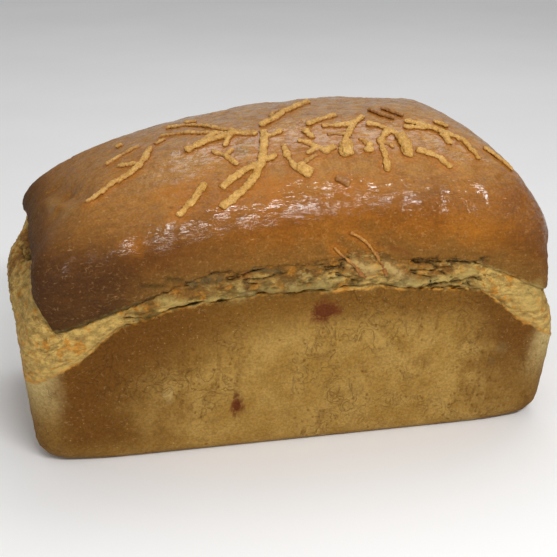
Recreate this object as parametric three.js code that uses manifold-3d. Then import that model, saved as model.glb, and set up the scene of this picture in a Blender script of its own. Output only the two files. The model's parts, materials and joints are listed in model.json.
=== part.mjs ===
// A tin loaf: one baked loaf with a domed, glazed crown, a torn pale band where the crown rose out
// of the tin, and tapered tin-baked walls. Melted cheese strands lie on the crown, and dark filling
// pieces show in the crust. Units are millimetres, +X runs along the loaf, -Y is its front, +Z is up.

import * as THREE from "three";
import { mergeVertices } from "three/addons/utils/BufferGeometryUtils.js";
import Module from "manifold-3d";

const wasm = await Module();
wasm.setup();

// ---------------------------------------------------------------- driving dimensions

// The walls that baked against the tin.
const TIN = {
  leftHalf: 112.5, // at the foot, from the middle to the left end
  rightHalf: 113,
  halfWidth: 54.5,
  draft: THREE.MathUtils.degToRad(5.8),
  rimHeight: 70,
  footCorner: 13, // upright corner radius at the foot
  rimCorner: 12, // and at the tin's rim
  footRound: 5, // rounding of the bottom edge along the sides
  footRoundAtCorner: 10,
};

// The crown above the tin.
const CROWN = {
  leftHalf: 113,
  rightHalf: 109.5,
  halfWidth: 65,
  springHeight: 85.5, // where the crown is widest
  rootHeight: 60,
  corner: 14,
  crestHeight: 136.5,
  crestSlope: 2.6, // rise of the crest per half length
  crestSag: 16.5, // fall of the crest away from its peak
  crestPeak: 0.24, // place of the peak, in half lengths to the right
  ridgeHalf: 50, // half length of the ridge that the crown closes on
  fullness: 2.57, // profile exponents: higher is squarer
  roundness: 1.97,
  plumpness: 3.3, // exponent of the rounded outline near the top
  softening: 0.8, // exponent of how soon the outline turns plump
  tuckIn: 2.4, // how far the crown draws in below its widest line
  rightFlare: 5, // how far the crust spreads again there at the right end
};

// Lists of heights or depths stand for points spread evenly round the loaf. They start at the middle
// of the front and pass the right end, the back and the left end.
// Lower edge of the crown crust.
const CAP_EDGE = [
  ...[86, 90, 84, 79.5, 67], // front, middle to right corner
  ...[61, 67, 71, 71, 68], // right end
  ...[68, 75, 82, 85, 86, 84, 83, 79, 77], // back, right to left
  ...[82, 88, 88, 85, 84], // left end
  ...[77, 78.5, 84, 86], // front, left corner to middle
];
// The crust hangs in a pointed flap over the left front corner.
const FLAP = { place: 588, depth: 16, fadeBefore: 10, fadeAfter: 22 };
// Upper edge of the wall that touched the tin.
const WALL_EDGE = [
  ...[72, 71.5, 69.5, 66, 49],
  ...[40, 60, 66, 60, 42],
  ...[48, 64, 70, 72, 72, 71, 69, 64, 50],
  ...[40, 58, 64, 58, 40],
  ...[46, 62.5, 69.5, 72],
];
// How far the torn band swells past the wall.
const BAND_SWELL = [
  ...[2, 2, 2, 2, 1.5],
  ...[1, 2, 2.5, 2.5, 3],
  ...[3, 2.5, 2, 2, 2, 2, 2.5, 3, 3.5],
  ...[4, 4.5, 4.5, 4, 3.5],
  ...[3, 2.5, 2, 2],
];
const BAND_ROUNDNESS = 0.8; // exponent of the swell's profile
const LIP_DEPTH = 2; // how far the crust stands over the torn band
const LIP_DROOP = 1.2;

const COLUMNS = 60;
const ROWS = { floor: 2, foot: 3, wall: 5, band: 5, lip: 2, crown: 13 };
const FLOOR_START = 0.1; // size of the innermost floor ring
const CREST_END = 0.06; // angle left open at the ridge, in radians, before it is closed over
const CORE_HALF = 60; // half length of the middle line that outward directions start from
const CORNER_REACH = 1.5; // how far a corner's foot rounding reaches, in corner radii
const WELD = 1e-4; // points closer than this are one point
const SLOPE_STEP = 0.5; // step over which the crown's slope is measured
const SEARCH_STEPS = 30;

const GAP = 0.3; // clearance between neighbouring pieces
const STRAND_SIDES = 6;
const STRAND_STEP = 4; // length of one straight stretch of a strand

// Strands of melted cheese, as plan positions of their centre lines on the crown. Strands that cross
// have melted into one piece.
const CHEESE = [
  { name: "cheese_left_sliver", strands: [{ radius: 1.6, path: [[-76, -14], [-68, -11], [-61, -8]] }] },
  {
    name: "cheese_left_fork",
    strands: [
      { radius: 1.8, path: [[-86, -41], [-80, -38], [-75, -35], [-68, -32], [-62, -27], [-57, -15]] },
      { radius: 1.4, path: [[-72, -22], [-67, -25], [-62, -28]] },
    ],
  },
  { name: "cheese_left_crumb", strands: [{ radius: 1.4, path: [[-70, 5], [-67, 6]] }] },
  { name: "cheese_short_left", strands: [{ radius: 1.5, path: [[-55, -13], [-50, -10]] }] },
  {
    name: "cheese_ridge_tangle",
    strands: [
      { radius: 1.4, path: [[-47, 8], [-37, 1], [-28, -12], [-21, -20], [-13, -26]] },
      { radius: 1.4, path: [[-52, -4], [-43, -8], [-35, -14], [-23, -22], [-14, -27]] },
      { radius: 1.9, path: [[-44, -28], [-36, -25], [-23, -22]] },
      { radius: 1.7, path: [[-38, -26], [-29, -17]] },
      { radius: 1.5, path: [[-28, -31], [-24, -22]] },
    ],
  },
  { name: "cheese_ridge_crumb", strands: [{ radius: 1.4, path: [[-39, 8], [-34, 7]] }] },
  {
    name: "cheese_twig",
    strands: [
      { radius: 1.4, path: [[-34, -32], [-30, -36], [-25, -43]] },
      { radius: 1.2, path: [[-30, -37], [-25, -34]] },
    ],
  },
  { name: "cheese_front_sliver", strands: [{ radius: 1.6, path: [[-52, -57], [-45, -53], [-39, -48]] }] },
  {
    name: "cheese_cross",
    strands: [
      { radius: 1.8, path: [[-10, -25], [-12, -34], [-15, -43], [-20, -50], [-27, -54], [-34, -57]] },
      { radius: 1.6, path: [[-16, -44], [-25, -47], [-33, -51]] },
      { radius: 1.4, path: [[-15, -44], [-8, -41]] },
      { radius: 1.5, path: [[-11, -31], [-3, -27]] },
    ],
  },
  {
    name: "cheese_loop",
    strands: [
      { radius: 1.9, path: [[-10, -20], [-3, -14], [7, -3], [17, 7]] },
      { radius: 1.3, path: [[-4, -13], [-1, -4], [5, -3]] },
    ],
  },
  { name: "cheese_upper_sliver", strands: [{ radius: 1.6, path: [[8, -25], [15, -22], [23, -18]] }] },
  { name: "cheese_stub", strands: [{ radius: 1.7, path: [[6, -29], [9, -36]] }] },
  {
    name: "cheese_knot",
    strands: [
      { radius: 1.5, path: [[2, -35], [8, -40], [13, -44]] },
      { radius: 1.5, path: [[4, -43], [9, -41]] },
      { radius: 1.9, path: [[11, -43], [17, -41]] },
    ],
  },
  {
    name: "cheese_hook",
    strands: [
      { radius: 1.5, path: [[-4, -37], [-4, -44], [-1, -49]] },
      { radius: 2.7, path: [[-1, -48], [4, -51]] },
      { radius: 1.2, path: [[1, -47], [8, -44]] },
    ],
  },
  {
    name: "cheese_blob",
    strands: [
      { radius: 1.6, path: [[14, -28], [27, -28], [34, -22]] },
      { radius: 1.7, path: [[28, -28], [24, -35], [21, -40]] },
      { radius: 3.0, path: [[21, -40], [20, -46]] },
      { radius: 1.4, path: [[15, -34], [23, -35]] },
    ],
  },
  {
    name: "cheese_drop",
    strands: [
      { radius: 1.4, path: [[28, -38], [31, -41]] },
      { radius: 2.0, path: [[31, -41], [30, -45]] },
    ],
  },
  {
    name: "cheese_tripod",
    strands: [
      { radius: 1.6, path: [[34, -28], [42, -33], [46, -37]] },
      { radius: 2.6, path: [[46, -37], [47, -42], [46, -47]] },
      { radius: 1.6, path: [[42, -34], [36, -40], [37, -46], [36, -52]] },
      { radius: 1.3, path: [[37, -40], [42, -43]] },
    ],
  },
  { name: "browned_strand_inner", strands: [{ radius: 1.0, path: [[39, -14], [42, -20], [47, -25]] }] },
  { name: "browned_strand_outer", strands: [{ radius: 1.0, path: [[45, -13], [49, -18], [52, -22]] }] },
  {
    name: "cheese_long_right",
    strands: [
      { radius: 1.6, path: [[52, -26], [58, -29], [66, -33], [72, -37], [76, -42], [78, -47]] },
      { radius: 1.4, path: [[50, -31], [56, -31], [61, -31]] },
      { radius: 1.8, path: [[66, -34], [67, -41]] },
    ],
  },
  { name: "cheese_upper_right", strands: [{ radius: 1.4, path: [[65, -25], [70, -29]] }] },
  { name: "cheese_lower_right", strands: [{ radius: 1.5, path: [[51, -44], [58, -46], [64, -51]] }] },
  { name: "cheese_end_right", strands: [{ radius: 1.4, path: [[83, -39], [88, -42], [94, -46]] }] },
  { name: "browned_lump", strands: [{ radius: 1.5, path: [[14, -53], [19, -55]] }] },
  // The far slope of the crown.
  { name: "cheese_back_left", strands: [{ radius: 1.6, path: [[-71, 44], [-62, 49], [-55, 55]] }] },
  {
    name: "cheese_back_fork",
    strands: [
      { radius: 1.7, path: [[-39, 44], [-32, 50], [-27, 56], [-26, 60]] },
      { radius: 1.4, path: [[-31, 51], [-22, 52], [-14, 57]] },
    ],
  },
  { name: "cheese_back_sliver", strands: [{ radius: 1.5, path: [[-7, 58], [1, 60], [8, 58]] }] },
  {
    name: "cheese_back_cross",
    strands: [
      { radius: 1.7, path: [[13, 45], [21, 51], [31, 59]] },
      { radius: 1.4, path: [[27, 47], [20, 58]] },
    ],
  },
  { name: "cheese_back_middle", strands: [{ radius: 1.5, path: [[38, 44], [43, 47], [52, 48]] }] },
  { name: "cheese_back_right", strands: [{ radius: 1.6, path: [[58, 56], [66, 55], [73, 50]] }] },
  { name: "cheese_back_crumb", strands: [{ radius: 1.5, path: [[-3, 47], [2, 49]] }] },
];

// Two thin strands hang over the edge of the crust at the front: full positions of their centre lines.
const HANGING_RADIUS = 1.1;
const HANGING = [
  { name: "hanging_strand_left", path: [[10, -66.6, 93], [17, -66.8, 86], [24, -67, 77]] },
  { name: "hanging_strand_right", path: [[17, -65.8, 99], [26, -66.6, 92], [30, -66.8, 85], [33, -67, 78]] },
];

// Filling pieces that show in the crust. x and z place the middle of each on its wall, face is the
// outward direction of the wall, across, up and deep are half sizes.
const FRONT = -1;
const BACK = 1;
const FILLING_SINK = 0.9; // how far the middle of a piece lies inside the crust
const FILLING_SIDES = 10;
const FILLING_RINGS = 7;
const FILLING = [
  { name: "filling_upper_front", face: FRONT, x: 8.5, z: 63.5, across: 6.2, up: 4.4, deep: 2.4 },
  { name: "filling_lower_front", face: FRONT, x: -29, z: 21.5, across: 2.9, up: 4.8, deep: 2.2 },
  { name: "filling_back_left", face: BACK, x: -47, z: 52, across: 4.4, up: 3.6, deep: 2.2 },
  { name: "filling_back_right", face: BACK, x: 36, z: 30, across: 3, up: 4.4, deep: 2.2 },
];

// ---------------------------------------------------------------- materials

function surface(colour, roughness) {
  return new THREE.MeshStandardMaterial({ color: colour, roughness, metalness: 0 });
}

const CRUST = surface(0xb3763a, 0.5);
const GOLDEN_CHEESE = surface(0xd9a54a, 0.45);
const BROWNED_CHEESE = surface(0x8f4f1c, 0.5);
const FILLING_SKIN = surface(0x6b3324, 0.55);

// ---------------------------------------------------------------- outlines of the loaf

// The perimeter is walked by a turn from 0 to 1. Its stretches keep the lengths that they have at the
// tin's rim, so that a turn stands for the same place at every height.
const SIDE = 106;
const END = 50;
const BEND = (Math.PI / 2) * TIN.rimCorner;
const STRETCHES = [SIDE, BEND, 2 * END, BEND, 2 * SIDE, BEND, 2 * END, BEND, SIDE];
const PERIMETER = STRETCHES.reduce((sum, length) => sum + length, 0);

function wrap(turn) {
  return turn - Math.floor(turn);
}

// Smooth value round the loaf from a list of evenly spread ones.
function around(values, turn) {
  const place = wrap(turn) * values.length;
  const index = Math.floor(place);
  const at = (k) => values[(index + k + values.length) % values.length];
  const f = place - index;
  const [a, b, c, d] = [at(-1), at(0), at(1), at(2)];
  const square = (2 * a - 5 * b + 4 * c - d) * f * f;
  const cube = (-a + 3 * b - 3 * c + d) * f * f * f;
  return 0.5 * (2 * b + (c - a) * f + square + cube);
}

// Point on a rectangle with round corners, whose left and right halves may differ.
function roundedOutline(turn, left, right, half, corner) {
  let rest = wrap(turn) * PERIMETER;
  let stretch = 0;
  while (stretch < STRETCHES.length - 1 && rest > STRETCHES[stretch]) {
    rest -= STRETCHES[stretch];
    stretch += 1;
  }
  const t = rest / STRETCHES[stretch];
  const bend = (t * Math.PI) / 2;
  const [sin, cos] = [corner * Math.sin(bend), corner * Math.cos(bend)];
  const [xr, xl, yb] = [right - corner, corner - left, half - corner];
  const points = [
    [xr * t, -half],
    [xr + sin, -yb - cos],
    [right, yb * (2 * t - 1)],
    [xr + cos, yb + sin],
    [xr + (xl - xr) * t, half],
    [xl - sin, yb + cos],
    [-left, yb * (1 - 2 * t)],
    [xl - cos, -yb - sin],
    [xl * (1 - t), -half],
  ];
  return points[stretch];
}

// The same point drawn onto a plump oval.
function plumpOutline([x, y], left, right, half) {
  const end = x > 0 ? right : left;
  const power = CROWN.plumpness;
  const reach = (Math.abs(x / end) ** power + Math.abs(y / half) ** power) ** (-1 / power);
  return [x * reach, y * reach];
}

// 1 at an upright corner, falling to 0 along the sides.
function nearCorner(turn) {
  const walked = wrap(turn) * PERIMETER;
  const first = SIDE + BEND / 2;
  const second = first + 2 * END + BEND;
  const corners = [first, second, PERIMETER - second, PERIMETER - first];
  const distance = Math.min(...corners.map((corner) => Math.abs(walked - corner)));
  return Math.exp(-((distance / (CORNER_REACH * TIN.rimCorner)) ** 2));
}

function wallPoint(turn, z, inset = 0) {
  const lean = z * Math.tan(TIN.draft) - inset;
  const rise = Math.min(z / TIN.rimHeight, 1);
  const corner = THREE.MathUtils.lerp(TIN.footCorner, TIN.rimCorner, rise) - inset;
  const [left, right] = [TIN.leftHalf + lean, TIN.rightHalf + lean];
  const [x, y] = roundedOutline(turn, left, right, TIN.halfWidth + lean, corner);
  return new THREE.Vector3(x, y, z);
}

function crestHeight(x) {
  const u = x / CROWN.rightHalf;
  return CROWN.crestHeight + CROWN.crestSlope * u - CROWN.crestSag * (u - CROWN.crestPeak) ** 2;
}

// Point on the crown. rise runs from 0 at its widest line to a right angle at the ridge, and a
// negative rise goes down below the widest line.
function crownPoint(turn, rise) {
  const angle = Math.max(rise, 0);
  const below = Math.max(-rise, 0);
  const size = Math.cos(angle) ** (2 / CROWN.fullness);
  const lift = Math.sin(angle) ** (2 / CROWN.roundness);
  const tuck = CROWN.tuckIn * below ** 2;
  const left = CROWN.leftHalf - tuck;
  const right = CROWN.rightHalf - tuck + CROWN.rightFlare * below ** 1.5;
  const half = CROWN.halfWidth - tuck;
  const square = roundedOutline(turn, left, right, half, CROWN.corner);
  const plump = plumpOutline(square, left, right, half);
  const blend = (1 - size) ** CROWN.softening;
  const x = THREE.MathUtils.lerp(square[0], plump[0], blend);
  const y = THREE.MathUtils.lerp(square[1], plump[1], blend);
  const ridge = CROWN.ridgeHalf * Math.sin((Math.PI / 2) * THREE.MathUtils.clamp(x / right, -1, 1));
  const ringX = THREE.MathUtils.lerp(ridge, x, size);
  const drop = below * (CROWN.springHeight - CROWN.rootHeight);
  const z = CROWN.springHeight + (crestHeight(ringX) - CROWN.springHeight) * lift - drop;
  return new THREE.Vector3(ringX, y * size, z);
}

// Rise at which the crown reaches a height near the middle of the loaf.
function riseAt(height) {
  const over = height - CROWN.springHeight;
  if (over <= 0) {
    return over / (CROWN.springHeight - CROWN.rootHeight);
  }
  return Math.asin((over / (crestHeight(0) - CROWN.springHeight)) ** (CROWN.roundness / 2));
}

// ---------------------------------------------------------------- the loaf's skin

// Height of the crust's lower edge, with the flap.
function capEdge(turn) {
  const past = wrap(turn) * PERIMETER - FLAP.place;
  const fade = past < 0 ? FLAP.fadeBefore : FLAP.fadeAfter;
  return around(CAP_EDGE, turn) - FLAP.depth * Math.exp(-Math.abs(past) / fade);
}

// One upright column of skin points, from the floor to the ridge.
function skinColumn(turn) {
  const column = [];
  const round = THREE.MathUtils.lerp(TIN.footRound, TIN.footRoundAtCorner, nearCorner(turn));
  for (let row = 0; row <= ROWS.floor; row += 1) {
    const size = THREE.MathUtils.lerp(FLOOR_START, 1, row / ROWS.floor);
    column.push(wallPoint(turn, 0, round).multiplyScalar(size));
  }
  for (let row = 1; row <= ROWS.foot; row += 1) {
    const angle = ((Math.PI / 2) * row) / ROWS.foot;
    const z = round * (1 - Math.cos(angle));
    column.push(wallPoint(turn, z, round * (1 - Math.sin(angle))));
  }
  const wallEdge = around(WALL_EDGE, turn);
  for (let row = 1; row <= ROWS.wall; row += 1) {
    column.push(wallPoint(turn, THREE.MathUtils.lerp(round, wallEdge, row / ROWS.wall)));
  }

  const lipRise = riseAt(capEdge(turn));
  const lip = crownPoint(turn, lipRise);
  const core = THREE.MathUtils.clamp(lip.x, -CORE_HALF, CORE_HALF);
  const outward = new THREE.Vector3(lip.x - core, lip.y, 0).normalize();
  const groove = lip.clone().addScaledVector(outward, -LIP_DEPTH);
  const wallTop = wallPoint(turn, wallEdge);
  const swell = around(BAND_SWELL, turn);
  for (let row = 1; row <= ROWS.band; row += 1) {
    const t = row / ROWS.band;
    const bulge = swell * Math.sin(Math.PI * t) ** BAND_ROUNDNESS;
    column.push(wallTop.clone().lerp(groove, t).addScaledVector(outward, bulge));
  }
  for (let row = 1; row <= ROWS.lip; row += 1) {
    const t = row / ROWS.lip;
    const point = groove.clone().lerp(lip, t);
    point.z -= LIP_DROOP * Math.sin(Math.PI * t);
    column.push(point);
  }
  for (let row = 1; row <= ROWS.crown; row += 1) {
    const rise = THREE.MathUtils.lerp(lipRise, Math.PI / 2 - CREST_END, row / ROWS.crown);
    column.push(crownPoint(turn, rise));
  }
  return column;
}

// Closes the ring of points that starts at first, by joining its front half to its back half.
function zipTriangles(first, facesUp) {
  const rightEnd = COLUMNS / 4;
  const onFront = (k) => first + ((rightEnd - k + COLUMNS) % COLUMNS);
  const onBack = (k) => first + ((rightEnd + k) % COLUMNS);
  const triangles = [];
  for (let k = 0; k < COLUMNS / 2; k += 1) {
    if (k > 0) {
      triangles.push([onFront(k), onBack(k), onBack(k + 1)]);
    }
    if (k < COLUMNS / 2 - 1) {
      triangles.push([onFront(k), onBack(k + 1), onFront(k + 1)]);
    }
  }
  return facesUp ? triangles : triangles.map(([a, b, c]) => [a, c, b]);
}

function loafSkin() {
  const columns = [];
  for (let k = 0; k < COLUMNS; k += 1) {
    columns.push(skinColumn(k / COLUMNS));
  }
  const rows = columns[0].length;
  const vertices = [];
  const triangles = [];
  for (let row = 0; row < rows; row += 1) {
    for (let k = 0; k < COLUMNS; k += 1) {
      vertices.push(...columns[k][row].toArray());
    }
  }
  for (let row = 0; row < rows - 1; row += 1) {
    for (let k = 0; k < COLUMNS; k += 1) {
      const next = (k + 1) % COLUMNS;
      const [a, b] = [row * COLUMNS + k, row * COLUMNS + next];
      triangles.push([a, b, b + COLUMNS], [a, b + COLUMNS, a + COLUMNS]);
    }
  }
  triangles.push(...zipTriangles(0, false));
  triangles.push(...zipTriangles((rows - 1) * COLUMNS, true));
  const geometry = new THREE.BufferGeometry();
  geometry.setAttribute("position", new THREE.Float32BufferAttribute(vertices, 3));
  geometry.setIndex(triangles.flat());
  return geometry;
}

// ---------------------------------------------------------------- solids

function toSolid(geometry) {
  const bare = geometry.clone();
  bare.deleteAttribute("normal");
  bare.deleteAttribute("uv");
  const merged = mergeVertices(bare, WELD);
  const mesh = new wasm.Mesh({
    numProp: 3,
    vertProperties: new Float32Array(merged.attributes.position.array),
    triVerts: new Uint32Array(merged.index.array),
  });
  return new wasm.Manifold(mesh);
}

function toGeometry(solid) {
  const mesh = solid.getMesh();
  const geometry = new THREE.BufferGeometry();
  geometry.setAttribute("position", new THREE.BufferAttribute(mesh.vertProperties, 3));
  geometry.setIndex(new THREE.BufferAttribute(mesh.triVerts, 1));
  geometry.computeVertexNormals();
  return geometry;
}

// ---------------------------------------------------------------- places on the crown

function bisect(low, high, isLow) {
  let [a, b] = [low, high];
  for (let step = 0; step < SEARCH_STEPS; step += 1) {
    const middle = (a + b) / 2;
    [a, b] = isLow(middle) ? [middle, b] : [a, middle];
  }
  return (a + b) / 2;
}

// Height of the crown over a plan position. The crown's outline is the same at the front and back.
function crownHeight(x, y) {
  const frontPoint = (rise) => {
    const turn = bisect(-0.25, 0.25, (place) => crownPoint(place, rise).x < x);
    return crownPoint(turn, rise);
  };
  const rise = bisect(0, Math.PI / 2 - CREST_END / 2, (angle) => Math.abs(frontPoint(angle).y) > Math.abs(y));
  return frontPoint(rise).z;
}

// Point a given distance off the crown.
function offCrown(x, y, distance) {
  const step = SLOPE_STEP;
  const slopeX = (crownHeight(x + step, y) - crownHeight(x - step, y)) / (2 * step);
  const slopeY = (crownHeight(x, y + step) - crownHeight(x, y - step)) / (2 * step);
  const normal = new THREE.Vector3(-slopeX, -slopeY, 1).normalize();
  return new THREE.Vector3(x, y, crownHeight(x, y)).addScaledVector(normal, distance);
}

// ---------------------------------------------------------------- cheese and filling

function strandAlong(centreLine, radius) {
  const section = new THREE.Shape();
  section.absarc(0, 0, radius, 0, 2 * Math.PI);
  return new THREE.ExtrudeGeometry(section, {
    extrudePath: centreLine,
    steps: Math.max(1, Math.round(centreLine.getLength() / STRAND_STEP)),
    curveSegments: STRAND_SIDES / 2, // an arc is drawn with two sides to each segment
    bevelEnabled: false,
  });
}

// A strand that follows the crown along a plan path.
function crownStrand({ radius, path }) {
  const plan = new THREE.CatmullRomCurve3(path.map(([x, y]) => new THREE.Vector3(x, y, 0)));
  const stops = Math.max(2, Math.round(plan.getLength() / STRAND_STEP));
  const points = plan.getPoints(stops).map((stop) => offCrown(stop.x, stop.y, radius + GAP));
  return strandAlong(new THREE.CatmullRomCurve3(points), radius);
}

function fusedStrands(strands) {
  return strands
    .map((strand) => toSolid(crownStrand(strand)))
    .reduce((whole, solid) => whole.add(solid));
}

// A filling piece, or with some clearance the pocket that it lies in.
function fillingBody({ face, x, z, across, up, deep }, clearance) {
  const body = new THREE.SphereGeometry(1, FILLING_SIDES, FILLING_RINGS);
  body.scale(across + clearance, deep + clearance, up + clearance);
  const wall = TIN.halfWidth + z * Math.tan(TIN.draft);
  body.rotateX(-face * TIN.draft);
  body.translate(x, face * (wall - FILLING_SINK), z);
  return body;
}

// ---------------------------------------------------------------- the model

function piece(name, geometry, material) {
  const mesh = new THREE.Mesh(geometry, material);
  mesh.name = name;
  return mesh;
}

const tinLoaf = new THREE.Group();

let loafSolid = toSolid(loafSkin());
for (const filling of FILLING) {
  loafSolid = loafSolid.subtract(toSolid(fillingBody(filling, GAP)));
  tinLoaf.add(piece(filling.name, fillingBody(filling, 0), FILLING_SKIN));
}
tinLoaf.add(piece("loaf", toGeometry(loafSolid), CRUST));

for (const { name, strands } of CHEESE) {
  const material = name.startsWith("browned") ? BROWNED_CHEESE : GOLDEN_CHEESE;
  tinLoaf.add(piece(name, toGeometry(fusedStrands(strands)), material));
}
for (const { name, path } of HANGING) {
  const centreLine = new THREE.CatmullRomCurve3(path.map((point) => new THREE.Vector3(...point)));
  tinLoaf.add(piece(name, strandAlong(centreLine, HANGING_RADIUS), GOLDEN_CHEESE));
}

// The origin lies under the middle of the loaf.
const middle = new THREE.Box3().setFromObject(tinLoaf).getCenter(new THREE.Vector3());
tinLoaf.position.set(-middle.x, -middle.y, 0);

export default tinLoaf;
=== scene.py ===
"""A tin loaf with a glazed crown, melted cheese strands and filling pieces, dressed over its CAD frame.

The loaf's skin is one closed mesh. Its smooth shape follows the same rules as the frame's loaf, more
finely, and a Geometry Nodes tree roughens it. The cheese and the filling pieces are remade from their
frame nodes. Lengths are millimetres, and MM turns them into metres, except in the studio, which is in
metres.
"""

import json
import logging
import math
from dataclasses import dataclass, field
from enum import Enum
from typing import Union

import bmesh
import bpy
import numpy as np
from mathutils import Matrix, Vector
from mathutils.bvhtree import BVHTree
from mathutils.kdtree import KDTree


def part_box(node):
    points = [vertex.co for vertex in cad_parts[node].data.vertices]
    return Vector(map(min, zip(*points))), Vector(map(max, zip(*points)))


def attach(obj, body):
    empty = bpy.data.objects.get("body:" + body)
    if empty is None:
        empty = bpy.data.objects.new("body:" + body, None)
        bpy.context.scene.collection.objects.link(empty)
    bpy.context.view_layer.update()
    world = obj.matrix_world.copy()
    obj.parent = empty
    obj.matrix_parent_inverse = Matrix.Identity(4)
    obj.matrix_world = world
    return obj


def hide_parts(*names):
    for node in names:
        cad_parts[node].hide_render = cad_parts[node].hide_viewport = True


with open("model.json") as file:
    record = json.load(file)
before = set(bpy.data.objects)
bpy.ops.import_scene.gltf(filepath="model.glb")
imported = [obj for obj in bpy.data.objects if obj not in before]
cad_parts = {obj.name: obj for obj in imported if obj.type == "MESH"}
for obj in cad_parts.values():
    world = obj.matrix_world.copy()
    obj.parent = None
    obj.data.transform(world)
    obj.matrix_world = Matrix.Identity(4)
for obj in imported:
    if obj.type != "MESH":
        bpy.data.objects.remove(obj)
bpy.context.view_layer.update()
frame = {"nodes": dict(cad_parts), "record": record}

MM = 0.001
LOG = logging.getLogger("tin_loaf")

Socket = bpy.types.NodeSocket
Rgb = tuple[int, int, int]
Value = Union[Socket, float]
Tone = Union[Socket, Rgb]
Fed = Union[Socket, float, tuple, bpy.types.Material, None]
Size = Union[np.ndarray, float]


# ---------------------------------------------------------------- node trees


class NodeWriter:
    """Writes nodes into a shader or geometry tree and joins them.

    Every method that makes a value returns the socket that holds it, and takes sockets or constants.
    """

    def __init__(self, tree: bpy.types.NodeTree) -> None:
        """Starts writing.

        Args:
            tree: The tree that gets the nodes.
        """
        self.tree = tree
        self.count = 0

    def node(self, kind: str, **settings: object) -> bpy.types.Node:
        """Adds a node.

        Args:
            kind: The node's type name.
            **settings: Its own settings, by name.

        Returns:
            The new node.
        """
        made = self.tree.nodes.new(kind)
        self.count += 1
        made.location = (200 * self.count, 0)
        for name, value in settings.items():
            setattr(made, name, value)
        return made

    def feed(self, socket: Socket, value: Fed) -> None:
        """Joins a socket to an input, or sets the input to a constant.

        Args:
            socket: The input.
            value: The socket or constant that it gets, or None to leave it as it is.
        """
        if isinstance(value, Socket):
            self.tree.links.new(value, socket)
        elif value is not None:
            socket.default_value = value

    def math(self, operation: str, first: Value, second: Union[Value, None] = None) -> Socket:
        """Adds one sum.

        Args:
            operation: Name of the operation.
            first: Its first value.
            second: Its second value, where it takes one.

        Returns:
            The result.
        """
        made = self.node("ShaderNodeMath", operation=operation)
        self.feed(made.inputs[0], first)
        self.feed(made.inputs[1], second)
        return made.outputs[0]

    def add(self, *values: Value) -> Socket:
        """Adds values together.

        Args:
            *values: Two or more values.

        Returns:
            Their sum.
        """
        total = values[0]
        for value in values[1:]:
            total = self.math("ADD", total, value)
        return total

    def times(self, *values: Value) -> Socket:
        """Multiplies values.

        Args:
            *values: Two or more values.

        Returns:
            Their product.
        """
        total = values[0]
        for value in values[1:]:
            total = self.math("MULTIPLY", total, value)
        return total

    def stretch(self, vector: Socket, factors: tuple[float, float, float]) -> Socket:
        """Scales a vector.

        Args:
            vector: The vector.
            factors: One factor for each axis.

        Returns:
            The scaled vector.
        """
        made = self.node("ShaderNodeVectorMath", operation="MULTIPLY")
        self.feed(made.inputs[0], vector)
        made.inputs[1].default_value = factors
        return made.outputs[0]

    def noise(self, vector: Socket, size: float, detail: float = 3.0, roughness: float = 0.5,
              distortion: float = 0.0) -> Socket:
        """Adds a noise pattern.

        Args:
            vector: Position in millimetres.
            size: Typical size of a patch, in millimetres.
            detail: How many finer layers it has.
            roughness: How strong the finer layers are.
            distortion: How much it is stirred.

        Returns:
            A value from 0 to 1, mostly near a half.
        """
        made = self.node("ShaderNodeTexNoise")
        self.feed(made.inputs["Vector"], vector)
        made.inputs["Scale"].default_value = 1.0 / size
        made.inputs["Detail"].default_value = detail
        made.inputs["Roughness"].default_value = roughness
        made.inputs["Distortion"].default_value = distortion
        return made.outputs[0]

    def ramp(self, value: Value, low: Value, high: Value, to_low: Value = 0.0,
             to_high: Value = 1.0) -> Socket:
        """Eases a value from one range into another, and holds it at the ends.

        Args:
            value: The value.
            low: Where the ramp starts, which may be above where it ends.
            high: Where it ends.
            to_low: What it gives at the start.
            to_high: What it gives at the end.

        Returns:
            The eased value.
        """
        made = self.node("ShaderNodeMapRange", interpolation_type="SMOOTHSTEP")
        for name, number in (("Value", value), ("From Min", low), ("From Max", high),
                             ("To Min", to_low), ("To Max", to_high)):
            self.feed(made.inputs[name], number)
        return made.outputs[0]

    def bend(self, vector: Socket, size: float, amount: float) -> Socket:
        """Moves a position about, so that round patterns turn ragged.

        Args:
            vector: Position in millimetres.
            size: Size of the noise that moves it.
            amount: How far it is moved at most.

        Returns:
            The moved position.
        """
        made = self.node("ShaderNodeTexNoise")
        self.feed(made.inputs["Vector"], vector)
        made.inputs["Scale"].default_value = 1.0 / size
        shift = self.stretch(made.outputs["Color"], (amount,) * 3)
        total = self.node("ShaderNodeVectorMath", operation="ADD")
        self.feed(total.inputs[0], vector)
        self.feed(total.inputs[1], shift)
        return total.outputs[0]

    def centred(self, pattern: Value, height: Value) -> Socket:
        """Turns a pattern from 0 to 1 into a rise and fall of a height."""
        return self.times(self.math("SUBTRACT", pattern, 0.5), height)

    def mix(self, factor: Value, first: Tone, second: Tone) -> Socket:
        """Mixes two colours.

        Args:
            factor: Share of the second colour.
            first: The first colour.
            second: The second colour.

        Returns:
            The mixed colour.
        """
        made = self.node("ShaderNodeMix", data_type="RGBA")
        self.feed(made.inputs[0], factor)
        self.feed(made.inputs[6], colour(first))
        self.feed(made.inputs[7], colour(second))
        return made.outputs[2]


def colour(value: Tone) -> Union[Socket, tuple[float, float, float, float]]:
    """Turns display values into a linear colour.

    Args:
        value: Three display values from 0 to 255, or a socket.

    Returns:
        The linear colour with full cover, or the same socket.
    """
    if isinstance(value, Socket):
        return value
    linear = [((v / 255 + 0.055) / 1.055) ** 2.4 if v > 10 else v / 255 / 12.92 for v in value]
    return (*linear, 1.0)


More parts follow.
